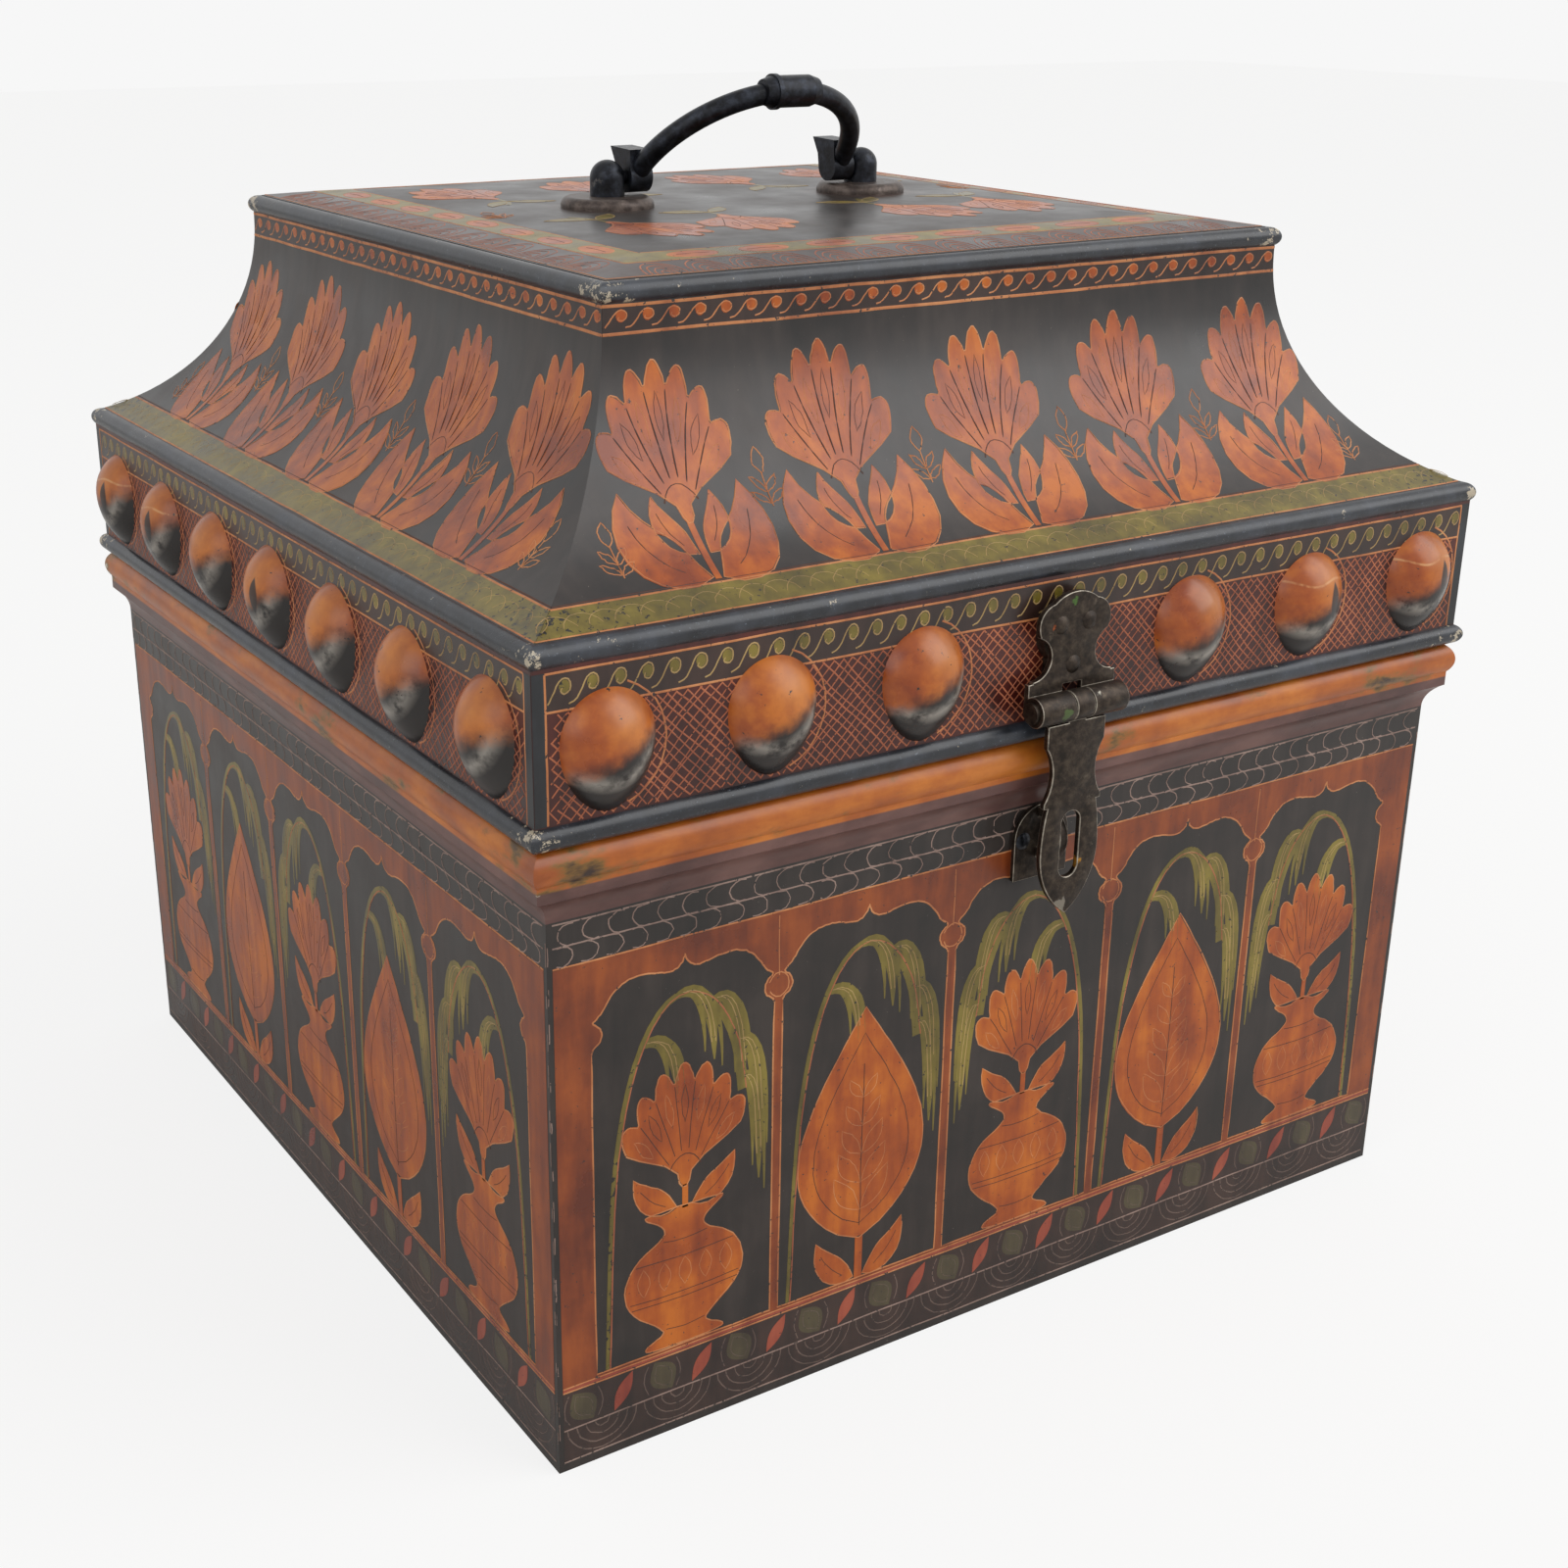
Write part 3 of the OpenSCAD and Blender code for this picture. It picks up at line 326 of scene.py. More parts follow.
charcoal_shades = "#1c1816", "#27201d", "#332b27"
charcoal = ground("charcoal_lacquer", *charcoal_shades)
band_brown = ground("band_lacquer", "#280a06", "#40110a", "#561c10")
inside_tin = ground("bare_tin", "#6d6a63", "#8b867c", "#9d988d", 0.45)
plate_boxes = [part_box(name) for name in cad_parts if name.startswith("handle_plate")]
plate_spots = [((low + high) / 2, (high.x - low.x) / 2 / MM) for low, high in plate_boxes]
top_charcoal = ground("top_lacquer", *charcoal_shades, rubbed_round=plate_spots)
print("grounds ready; rubbed round", len(plate_spots), "handle plates")

# %% [markdown]
# ## Rolled edges
# The rolled edges are black lacquer. They take the knocks, so the coat has chipped down to the tin at the
# corners. Pale bluish specks over the black are partly dust and partly a painted sheen of speckled
# highlights.

# %% Black edge lacquer


def edge_lacquer(name, corner_mm):
    material, tree, shader, place = start_finish(name, 0.3)
    colour, cloud, _ = cloudy_coat(tree, place, "#1d1f24", "#272a30", "#363a42", (1, 1, 1))
    # Pale bluish specks: partly dust, partly a painted sheen of speckled highlights.
    dust_and_sheen_specks = add(tree, "TexNoise", {"Vector": place, "Scale": per(0.9), "Detail": 4, "Roughness": 0.8})
    colour = layer(tree, colour, paint("#77808c"), dust_and_sheen_specks, 0.62, 0.7, 0.75)
    near = corner_nearness(tree, place, corner_mm, 16)
    spots = add(tree, "TexNoise", {"Vector": place, "Scale": per(3.4), "Detail": 5, "Roughness": 0.75})
    lifted = add(tree, "Math MULTIPLY_ADD", {0: near, 1: 0.17, 2: spots})
    colour = layer(tree, colour, paint("#b3a792"), lifted, 0.678, 0.69)
    skin(tree, shader, colour, cloud, dust_and_sheen_specks, 0.3, 0.08)
    return material


def corner_of(node):
    low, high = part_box(node)
    return min(high.x, abs(low.y)) / MM


body_edge = edge_lacquer("black_edge_lacquer", corner_of("rim_roll_front"))
top_edge = edge_lacquer("black_top_edge_lacquer", corner_of("top_roll_front"))
print("corner of the rim:", round(corner_of("rim_roll_front"), 1), "mm")

# %% [markdown]
# ## Bead and cavetto
# The moulding round the body's mouth is one bent strip, but it was painted in two colours: a pinkish brown
# in the hollow and orange on the bead. The orange has rubbed through in long patches where the lid lands on
# it.

# %% Bead lacquer


def bead_lacquer(split_mm):
    material, tree, shader, place = start_finish("bead_lacquer", 0.34)
    level_drag = (0.3, 0.3, 1)
    orange, cloud, drag = cloudy_coat(tree, place, "#924815", "#ad5b18", "#c57324", level_drag)
    brown, _, _ = cloudy_coat(tree, place, "#4a2f2b", "#5c3d38", "#6f4e47", level_drag)
    long_way = add(tree, "Mapping", {"Vector": place, "Scale": (0.4, 0.4, 1)})
    rubbed = add(tree, "TexNoise", {"Vector": long_way, "Scale": per(9), "Detail": 5, "Roughness": 0.6})
    corner_mm = corner_of("rim_moulding_front")
    knocked = corner_nearness(tree, place, corner_mm, 34)
    rubbed = add(tree, "Math MULTIPLY_ADD", {0: knocked, 1: 0.11, 2: rubbed})
    wear_stops = [(0.56, "#ad5a21"), (0.64, "#7d5a24"), (0.72, "#332019")]
    wear = add(tree, "ValToRGB", {"Fac": rubbed}, stops=wear_stops)
    orange = layer(tree, orange, wear, rubbed, 0.53, 0.66)
    height = add(tree, "SeparateXYZ", {0: place}, out="Z")
    colour = layer(tree, brown, orange, height, split_mm * MM, (split_mm + 0.4) * MM)
    near = corner_nearness(tree, place, corner_mm, 9)
    lifted = add(tree, "Math MULTIPLY_ADD", {0: near, 1: 0.16, 2: rubbed})
    colour = layer(tree, colour, paint("#c9c0ae"), lifted, 0.8, 0.82)
    colour = tin_inside(tree, shader, place, colour)
    skin(tree, shader, colour, cloud, drag, 0.34, 0.06)
    return material


cavetto_mm = 10
bead_foot_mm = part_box("rim_moulding_front")[0].z / MM + cavetto_mm
bead = bead_lacquer(bead_foot_mm)
print("bead starts at z", round(bead_foot_mm, 1), "mm")

# %% [markdown]
# ## Bosses
# Each egg-shaped boss is orange above, with a lighter painted highlight near its top. Below, it is dark as
# painted shade, crossed by a pale curved streak that is a painted reflection. Some have a dark seed shape
# and a wavy scratch too. The bosses stand in rows at one pitch, so the shader folds the long coordinate
# onto a single boss and draws all of them at once. A white noise of each boss's count picks those that get
# the seed and the scratch.

# %% Boss lacquer
boss_pitch_mm = 46.5
boss_low, boss_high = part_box("bosses_front")
boss_middle_mm = (boss_low.z + boss_high.z) / 2 / MM + 2.5


def boss_lacquer(name, axis, hand):
    material, tree, shader, place = start_finish(name, 0.3)
    orange, cloud, drag = cloudy_coat(tree, place, "#8b3c14", "#a5511a", "#c06b22", (1, 1, 1))
    long_way = add(tree, "SeparateXYZ", {0: place}, out=axis)
    height = add(tree, "SeparateXYZ", {0: place}, out="Z")
    half = boss_pitch_mm / 2 * MM
    local = add(tree, "Math WRAP", {0: long_way, 1: half, 2: -half})
    local = add(tree, "Math MULTIPLY", {0: local, 1: hand})
    level = add(tree, "Math ADD", {0: height, 1: -boss_middle_mm * MM})
    ragged = add(tree, "TexNoise", {"Vector": place, "Scale": per(5), "Detail": 4, "Roughness": 0.6})
    rough_edge = add(tree, "Math MULTIPLY_ADD", {0: ragged, 1: 6 * MM, 2: -3 * MM})
    tilt = add(tree, "Math MULTIPLY_ADD", {0: local, 1: -0.42, 2: rough_edge})
    edge = add(tree, "Math ADD", {0: level, 1: tilt})
    spot = add(tree, "CombineXYZ", {0: local, 2: level})
    # A pale ring, broken by noise, crosses the dark lower part: a painted reflection streak.
    reach = add(tree, "VectorMath DISTANCE", {0: spot, 1: (-2.5 * MM, 0, 3 * MM)}, out="Value")
    ring = gap(tree, reach, 12 * MM)
    broken = add(tree, "MapRange", {"Value": ragged, "From Min": 0.34, "From Max": 0.55})
    dark = layer(tree, paint("#1f1a18"), paint("#8c867e"), ring, 3 * MM, 0.1 * MM, broken)
    # A lighter orange patch near the top of the boss is a painted highlight.
    painted_highlight_reach = add(tree, "VectorMath DISTANCE", {0: spot, 1: (3 * MM, 0, 6 * MM)}, out="Value")
    orange = layer(tree, orange, paint("#cf8a45"), painted_highlight_reach, 9 * MM, 0, 0.5)
    # Below the tilted, ragged edge the boss turns dark: painted shade on its lower part.
    colour = layer(tree, dark, orange, edge, -6 * MM, 1 * MM, interpolation_type="SMOOTHSTEP")
    count = add(tree, "Math DIVIDE", {0: long_way, 1: boss_pitch_mm * MM})
    count = add(tree, "Math ROUND", {0: count})
    pick = add(tree, "TexWhiteNoise", {"W": count}, out="Value", noise_dimensions="1D")
    seeded = add(tree, "MapRange", {"Value": pick, "From Min": 0.3, "From Max": 0.31, "To Max": 0.92})
    wide = add(tree, "Math MULTIPLY", {0: gap(tree, local, 3.5 * MM), 1: per(1.9)})
    tall = add(tree, "Math MULTIPLY", {0: level, 1: per(5.6)})
    seed = add(tree, "Math MULTIPLY_ADD", {0: tall, 1: tall, 2: wide})
    colour = layer(tree, colour, paint("#1c1716"), seed, 1.05, 0.8, seeded)
    swing = add(tree, "Math MULTIPLY", {0: local, 1: per(2.4)})
    swing = add(tree, "Math SINE", {0: swing})
    swing = add(tree, "Math MULTIPLY_ADD", {0: swing, 1: 0.7 * MM, 2: 5.5 * MM})
    most = add(tree, "Math MULTIPLY", {0: broken, 1: 0.8})
    chosen = add(tree, "MapRange", {"Value": pick, "From Min": 0.6, "From Max": 0.61, "To Max": most})
    apart = gap(tree, level, swing)
    colour = layer(tree, colour, paint("#d09a66"), apart, 0.45 * MM, 0.15 * MM, chosen)
    colour = chipped(tree, place, colour, "#2a2522", 2.6, 0.32)
    skin(tree, shader, colour, cloud, drag, 0.3, 0.06)
    return material


boss_x = boss_lacquer("boss_lacquer_front", "X", 1)
boss_y = boss_lacquer("boss_lacquer_side", "Y", -1)
print("boss middle at z", round(boss_middle_mm, 1), "mm")

# %% [markdown]
# ## Iron
# The handle, hasp and hinges are wrought iron, blackened and handled for years. A metal keeps its default
# IOR. The black is a thin oxide, so the metallic value stays below one, and rubbed places are brighter.
# The hasp also has spots of stray paint, left when the lid was decorated with its hasp on.

# %% Iron finishes


def iron(name, low, mid, high, roughness, worn_code="#8b8680", worn_share=0.3, metallic=0.7):
    material, tree, shader, place = start_finish(name, roughness, metallic)
    scale = add(tree, "TexNoise", {"Vector": place, "Scale": per(3.2), "Detail": 8, "Roughness": 0.7})
    colour = add(tree, "ValToRGB", {"Fac": scale}, stops=[(0.38, low), (0.5, mid), (0.64, high)])
    rub = add(tree, "TexNoise", {"Vector": place, "Scale": per(7), "Detail": 6, "Roughness": 0.75})
    colour = layer(tree, colour, paint(worn_code), rub, 0.94 - worn_share, 1.08 - worn_share, 0.7)
    skin(tree, shader, colour, scale, scale, roughness, 0.25, (0.08, 0.12), 0.45)
    return material, tree, shader, place, colour


black_iron = iron("blackened_iron", "#17181b", "#22242a", "#343841", 0.34)[0]
plate_iron = iron("brown_patina_iron", "#3a302c", "#50453f", "#6a5e57", 0.4, "#8d8078", 0.34, 0.5)[0]
bright_iron = iron("rubbed_bright_iron", "#6a635a", "#928a7e", "#b5ad9f", 0.34, "#d2cabb", 0.36, 0.85)[0]


def stray_paint_iron(spots):
    dull = iron("hasp_iron", "#241e19", "#352c25", "#4a4036", 0.38, "#75695b", 0.33)
    material, tree, shader, place, colour = dull
    blotch = add(tree, "TexNoise", {"Vector": place, "Scale": per(2.5), "Detail": 3})
    blotch = add(tree, "Math MULTIPLY_ADD", {0: blotch, 1: 5 * MM, 2: -2.5 * MM})
    for spot, size_mm, code in spots:
        apart = add(tree, "VectorMath DISTANCE", {0: place, 1: Vector(spot) * MM}, out="Value")
        apart = add(tree, "Math ADD", {0: apart, 1: blotch})
        colour = layer(tree, colour, paint(code), apart, size_mm * MM, (size_mm - 0.5) * MM, 0.85)
    tree.links.new(colour, shader.inputs["Base Color"])
    return material


hasp_low, hasp_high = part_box("hasp_hinge_leaf")
hasp_face = hasp_low.y / MM
hasp_head_top = hasp_high.z / MM
leaf_face = -169
hasp_iron = stray_paint_iron([
    ((-1, hasp_face + 4, hasp_head_top - 3), 2.4, "#4d6b35"),
    ((-8, hasp_face + 4, hasp_head_top - 9), 2, "#b05a2c"),
    ((5, hasp_face, hasp_head_top - 27), 1.1, "#a19c90"),
    ((-7, hasp_face, hasp_head_top - 31), 2, "#51643a"),
    ((3, leaf_face, 148), 1.8, "#b8842c"),
    ((-2, leaf_face, 136), 2.2, "#8d867a"),
])
print("iron finishes ready; hasp face at y", round(hasp_face, 1), "mm")

# %% [markdown]
# ## Dress the solid pieces
# Every node of the solid model already has its right shape, so most of them only need the right finish. The
# table below pairs the start of a node's name with its material.

# %% Materials on the solid model
finishes = {
    "base_panel": inside_tin, "collar": inside_tin, "post_washers": inside_tin,
    **{side + "_wall": charcoal for side in SIDES},
    "rim_moulding": bead, "lid_band": band_brown,
    "bosses_front": boss_x, "bosses_back": boss_x, "bosses_left": boss_y, "bosses_right": boss_y,
    "rim_roll": body_edge, "shoulder_roll": body_edge, "top_roll": top_edge,
    "cove": charcoal, "top_panel": top_charcoal,
    "handle_plate": plate_iron, "handle_post": black_iron, "bail": black_iron, "grip_ferrule": black_iron,
    "hasp": hasp_iron, "hinge": black_iron, "staple": black_iron,
}


def dress(name, node):
    best = max((start for start in finishes if name.startswith(start)), key=len)
    node.data.materials.clear()
    node.data.materials.append(finishes[best])


for name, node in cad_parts.items():
    dress(name, node)
print("dressed:", len(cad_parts), "nodes")

# %% [markdown]
# ## How the ornament is drawn
# The painter worked on flat sheets or on the finished box, with a brush for the shapes and a point for the
# fine lines. Here each side is drawn flat too, in millimetres: u runs along the side and v runs up it.
# Points are complex numbers, because turning and growing a shape is then one multiplication. Shapes become
# thin films of paint and lines become low ridges, and at the end the whole drawing is laid onto its sheet.

# %% Drawing tools
film_tops = {"brown": 0.03, "black": 0.045, "frame": 0.045, "olive": 0.055, "dull_olive": 0.055,
             "orange": 0.065, "red": 0.065}
stroke_tops = {"olive": 0.07, "faint": 0.08}
line_top = 0.11
sunk = 0.02


def new_art(half_at):
    return {"shapes": {}, "lines": {}, "half_at": half_at}


def shape(art, colour, *outlines):
    art["shapes"].setdefault(colour, []).extend(outlines)


def shaky(points, amount):
    return [p + complex(random.uniform(-amount, amount), random.uniform(-amount, amount)) for p in points]


def line(art, colour, width, points, shake=0.0, closed=False):
    widths = width if isinstance(width, list) else [width] * len(points)
    drawn = shaky(points, shake) if shake else points
    art["lines"].setdefault(colour, []).append((widths, drawn, closed))


def soften(points, rounds=2, closed=True):
    for _ in range(rounds):
        following = points[1:] + points[:1] if closed else points[1:]
        pairs = zip(points, following)
        cut = [q for a, b in pairs for q in (a * 0.75 + b * 0.25, a * 0.25 + b * 0.75)]
        points = cut if closed else [points[0], *cut, points[-1]]
    return points


def mirror(points, middle):
    return [complex(2 * middle - p.real, p.imag) for p in points]


def leaf(foot, length, width, lean, bend=0.0, skew=1.0, steps=9):
    out, back = [], []
    for i in range(steps + 1):
        t = i / steps
        half = width / 2 * math.sin(math.pi * t ** skew)
        spine = cmath.rect(length * t, math.radians(lean) + bend * t)
        across = cmath.rect(half, math.radians(lean) + 2 * bend * t + math.pi / 2)
        out.append(foot + spine + across)
        back.append(foot + spine - across)
    return out + back[-2:0:-1]


def arc(middle, radius, start, end, steps=10, squeeze=1.0):
    angles = [math.radians(start + (end - start) * i / steps) for i in range(steps + 1)]
    return [middle + complex(radius * math.cos(a), radius * squeeze * math.sin(a)) for a in angles]


def row(art, level, pitch, extra=0.0):
    half = art["half_at"](level) + extra
    count = max(1, round(2 * half / pitch))
    return [-half + 2 * half * (i + 0.5) / count for i in range(count)]


def box_outline(left, right, low, high):
    return [complex(left, low), complex(right, low), complex(right, high), complex(left, high)]


def strip(art, colour, low, high):
    lower, upper = art["half_at"](low), art["half_at"](high)
    right = [complex(lower, low), complex(upper, high)]
    shape(art, colour, [complex(-lower, low), *right, complex(-upper, high)])


def rule(art, colour, width, level):
    half = art["half_at"](level)
    spots = [complex(-half + 2 * half * i / 24, level) for i in range(25)]
    line(art, colour, width, spots, 0.12)


# %% [markdown]
# ## Laying a drawing on its sheet
# A filled flat curve turns into a mesh film, and a curve with a small round profile turns into a ridge. On
# the curved sheets the film is first cut into narrow bands with bisect, so that it can follow the curve.
# Then each point moves from (u, v, height) to its place on that side.

# %% From a drawing to a painted piece
half_body = {"front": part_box("front_wall")[1].x / MM, "right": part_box("right_wall")[1].y / MM}
half_body["back"] = half_body["front"]
half_body["left"] = half_body["right"]
face_out = {side: half_body["right" if side in ("front", "back") else "front"] for side in SIDES}


def new_curve(name, material):
    data = bpy.data.curves.new(name, "CURVE")
    data.materials.append(material)
    return new_object(name, data), data


def add_spline(data, points, closed, widths=None):
    widths = widths or [2] * len(points)
    before = points[-1:] if closed else [points[0] - 1]
    kept = [(p, w) for p, w, q in zip(points, widths, before + points) if abs(p - q) > 0.02]
    spline = data.splines.new("POLY")
    spline.points.add(len(kept) - 1)
    spline.points.foreach_set("co", [c for p, _ in kept for c in (p.real, p.imag, 0, 1)])
    spline.points.foreach_set("radius", [w / 2 for _, w in kept])
    spline.use_cyclic_u = closed


def select_only(*pieces):
    bpy.ops.object.select_all(action="DESELECT")
    for piece in pieces:
        piece.select_set(True)
    bpy.context.view_layer.objects.active = pieces[0]


def to_mesh(curve):
    select_only(curve)
    bpy.ops.object.convert(target="MESH")
    return bpy.context.object


def film(colour, outlines):
    top = film_tops[colour]
    curve, data = new_curve("film_" + colour, paints[colour])
    data.dimensions = "2D"
    data.fill_mode = "BOTH"
    data.extrude = (top + sunk) / 2
    for points in outlines:
        add_spline(data, points, True)
    made = to_mesh(curve)
    made.data.transform(Matrix.Translation((0, 0, (top - sunk) / 2)))
    return made


def ridges(colour, lines):
    curve, data = new_curve("ridge_" + colour, paints[colour])
    data.dimensions = "3D"
    data.twist_mode = "Z_UP"
    data.fill_mode = "FULL"
    data.bevel_depth = 1
    data.bevel_resolution = 0
    data.use_fill_caps = True
    for widths, points, closed in lines:
        add_spline(data, points, closed, widths)
    made = to_mesh(curve)
    top = stroke_tops.get(colour, line_top)
    for vertex in made.data.vertices:
        up = vertex.co.z
        vertex.co.z = top if up > 0.01 else -sunk if up < -0.01 else top * 0.35
    return made


def join(parts, name):
    select_only(*parts)
    bpy.ops.object.join()
    parts[0].name = name
    return parts[0]


def cut_bands(axis, spots):
    bpy.ops.object.mode_set(mode="EDIT")
    facing = Vector((axis == 0, axis == 1, 0))
    for spot in spots:
        bpy.ops.mesh.select_all(action="SELECT")
        bpy.ops.mesh.bisect(plane_co=facing * spot, plane_no=facing)
    bpy.ops.object.mode_set(mode="OBJECT")


def make_piece(art, name, body, settle, cuts=((), ())):
    parts = [film(colour, outlines) for colour, outlines in art["shapes"].items()]
    films = join(parts, name)
    for axis, spots in enumerate(cuts):
        cut_bands(axis, spots)
    parts = [ridges(colour, lines) for colour, lines in art["lines"].items()]
    piece = join([films, *parts], name)
    spots = np.empty(len(piece.data.vertices) * 3)
    piece.data.vertices.foreach_get("co", spots)
    u, v, height = spots.reshape(-1, 3).T
    piece.data.vertices.foreach_set("co", (settle(u, v, height) * MM).ravel())
    piece.data.update()
    bpy.ops.object.shade_smooth_by_angle(angle=math.radians(25))
    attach(piece, body)
    print(name, len(piece.data.polygons), "faces")
    return piece


def on_side(side, section):
    turn = SIDES.index(side) * math.pi / 2
    cos, sin = round(math.cos(turn)), round(math.sin(turn))

    def settle(u, v, height):
        out, z = section(v, height)
        y = -(face_out[side] + out)
        return np.stack([cos * u - sin * y, sin * u + cos * y, z], axis=1)

    return settle


def paint_sides(draw, label, body, section, cuts=((), ())):
    for side in SIDES:
        name = f"{side}_{label}_ornament"
        make_piece(draw(side), name, body, on_side(side, section), cuts)


# %% [markdown]
# ## Borders
# Most of the borders are old stock patterns of painted tinware: rows of fish scales, nested arcs, leaf and
# bar, running scrolls and a net of crossed lines. Each is a short function that fills one strip from end to
# end.

# %% Border patterns
scale_pitch, scale_radius = 7.2, 3.6
halves = (-1, -0.5, 0, 0.5, 1)


def fish_scales(art, low, high, facing):
    middle = (low + high) / 2
    tall = (high - low) / 2
    for u in row(art, low, scale_pitch):
        centre = complex(u + facing * 1.4, middle)
        spots = arc(centre, scale_radius, 72, 288, 8, tall / scale_radius)
        if facing < 0:
            spots = mirror(spots, u - 1.4)
        line(art, "pink", random.uniform(0.26, 0.42), spots, 0.22)


def nested_arcs(art, low, high, pitch, colour, upside=1):
    tall = high - low
    hang = high if upside > 0 else low
    for u in row(art, (low + high) / 2, pitch):
        for ring in range(4):
            wide = pitch * (0.09 + 0.115 * ring)
            deep = tall * (0.22 + 0.24 * ring)
            spots = arc(complex(u, hang), wide, 180, 360, 12, upside * min(deep, tall * 0.93) / wide)
            line(art, colour, random.uniform(0.28, 0.45), spots, 0.15)


def leaf_and_bar(art, low, high):
    middle = (low + high) / 2
    for i, u in enumerate(row(art, low, 12.4)):
        if i % 2:
            shape(art, "red", leaf(complex(u - 2.9, middle - 5.3), 12.2, 4.3, random.uniform(57, 63)))
            continue
        lean = random.uniform(118, 126)
        shape(art, "dull_olive", leaf(complex(u + 3, middle - 4.9), 11.6, 8.4, lean, 0, 1, 14))
        line(art, "faint", 0.3, leaf(complex(u + 2.3, middle - 3.6), 8.6, 5.4, lean), 0.12, True)
        for side in (-1, 1):
            spots = [complex(u + side * (5.8 - 1.4 * t * t), middle + 4.6 * t) for t in halves]
            line(art, "faint", 0.34, spots, 0.15)


def running_scroll(art, low, high, pitch, dabs):
    middle = (low + high) / 2
    tall = (high - low) / 2 - 1.1
    wave = [(-0.62, -1), (-0.36, -0.84), (-0.16, -0.15), (0, 0.6), (0.22, 1), (0.45, 0.74), (0.47, 0.1),
            (0.28, -0.3), (0.1, -0.05), (0.16, 0.2)]
    for i, u in enumerate(row(art, middle, pitch)):
        centre = complex(u - pitch * 0.06, middle)
        curl = [centre + complex(pitch * a, tall * b) for a, b in wave[0 if i else 1:]]
        line(art, "yellow" if dabs == "olive" else "light", 0.42, soften(curl, 1, False), 0.08)
        shape(art, dabs, arc(centre + complex(pitch * 0.24, tall * 0.34), pitch * 0.19, 0, 340, 11, 1.15))


def crossed_net(art, low, high, pitch):
    half = art["half_at"](low)
    for slope in (1, -1):
        for start in row(art, low, pitch, high - low):
            start += random.uniform(-0.5, 0.5)
            wander = random.uniform(-0.9, 0.9)
            spots = []
            for i in range(9):
                v = low + (high - low) * i / 8
                u = start + slope * (v - (low + high) / 2) + wander * math.sin(i * 0.8)
                if abs(u) < half:
                    spots.append(complex(u, v))
            if len(spots) > 1:
                line(art, "salmon", random.uniform(0.32, 0.46), spots, 0.1)


# %% [markdown]
# ## Plants
# The large motifs are plain folk flowers: a scalloped fan flower, a vase, a budding tree, a drooping olive
# spray and a small scratched sprig. A brush lays the whole silhouette in one colour. Then a point scratches
# a light outline beside it, seldom quite on the edge, and dark veins within it.

# %% Plant motifs
drift = 0.35


def scratched(art, points, width=0.45):
    shift = complex(random.uniform(-drift, drift), random.uniform(-drift, drift))
    line(art, "light", width, [p + shift for p in points], 0.12, True)


def fan_flower(art, foot, tall, wide, petals, tilt=0.0):
    spread = math.radians(64)
    edge = []
    for i in range(petals * 6 + 1):
        t = i / (petals * 6)
        swell = 0.84 + 0.16 * abs(math.sin(math.pi * petals * t))
        angle = math.pi / 2 + spread - 2 * spread * t
        edge.append(cmath.rect(tall * swell, angle))
    squeeze = wide / (2 * tall * math.sin(spread))

    def squeezed(points):
        return [complex(p.real * squeeze, p.imag) for p in points]

    def placed(points):
        return [foot + p * cmath.exp(1j * math.radians(tilt)) for p in points]

    outline = [complex(-1.2, 0), complex(-2.4, tall * 0.16)]
    outline += [*squeezed(edge), complex(2.4, tall * 0.16), complex(1.2, 0)]
    outline = placed(soften(outline, 1))
    shape(art, "orange", outline)
    scratched(art, outline)
    for i in range(1, petals):
        angle = math.pi / 2 + spread - 2 * spread * i / petals
        vein = [cmath.rect(tall * reach, angle) for reach in (0.3, 0.5, 0.7, 0.83)]
        line(art, "dark", 0.4, placed(squeezed(vein)), 0.15)
    for i in range(petals):
        lean = spread - 2 * spread * (i + 0.5) / petals
        loop = [p * cmath.exp(1j * lean) for p in leaf(1j * tall * 0.52, tall * 0.3, tall * 0.09, 90)]
        line(art, "dark" if i % 2 else "light", 0.32, placed(squeezed(loop)), 0.12, True)
    line(art, "dark", 0.5, placed(squeezed(arc(0, tall * 0.26, 35, 145, 8))), 0.1)


def leaf_pair(art, foot, length, width, lean, bend, gap=1.6):
    right = leaf(foot + gap, length, width, lean, bend, 0.85)
    for outline in (right, mirror(right, foot.real)):
        shape(art, "orange", outline)
        scratched(art, outline, 0.4)
    vein = [(right[i] + right[-i]) / 2 for i in range(2, 8)]
    for drawn in (vein, mirror(vein, foot.real)):
        line(art, "dark", 0.36, drawn, 0.12)


def stalk(art, foot, tall, width):
    outline = box_outline(-width / 2, width / 2, 0, tall)
    shape(art, "orange", [foot + p for p in outline])


def cove_flower(art, foot, scale):
    stalk(art, foot, 17 * scale, 1.8)
    leaf_pair(art, foot + 0.5j, 30 * scale, 15 * scale, 14, 0.8)
    leaf_pair(art, foot + 8j * scale, 18 * scale, 7 * scale, 40, 0.5)
    fan_flower(art, foot + 16.5j * scale, 41 * scale, 40 * scale, 7)


def sprig(art, foot, tall):
    line(art, "light", 0.36, [foot, foot + tall * 0.35j, foot + tall * 0.62j], 0.15)
    line(art, "light", 0.36, leaf(foot + tall * 0.58j, tall * 0.45, tall * 0.22, 90), 0.2, True)
    for i, lean in enumerate((38, 142, 50, 130)):
        start = foot + tall * (0.06 + 0.2 * (i // 2)) * 1j
        line(art, "light", 0.36, leaf(start, tall * 0.38, tall * 0.12, lean), 0.2, True)


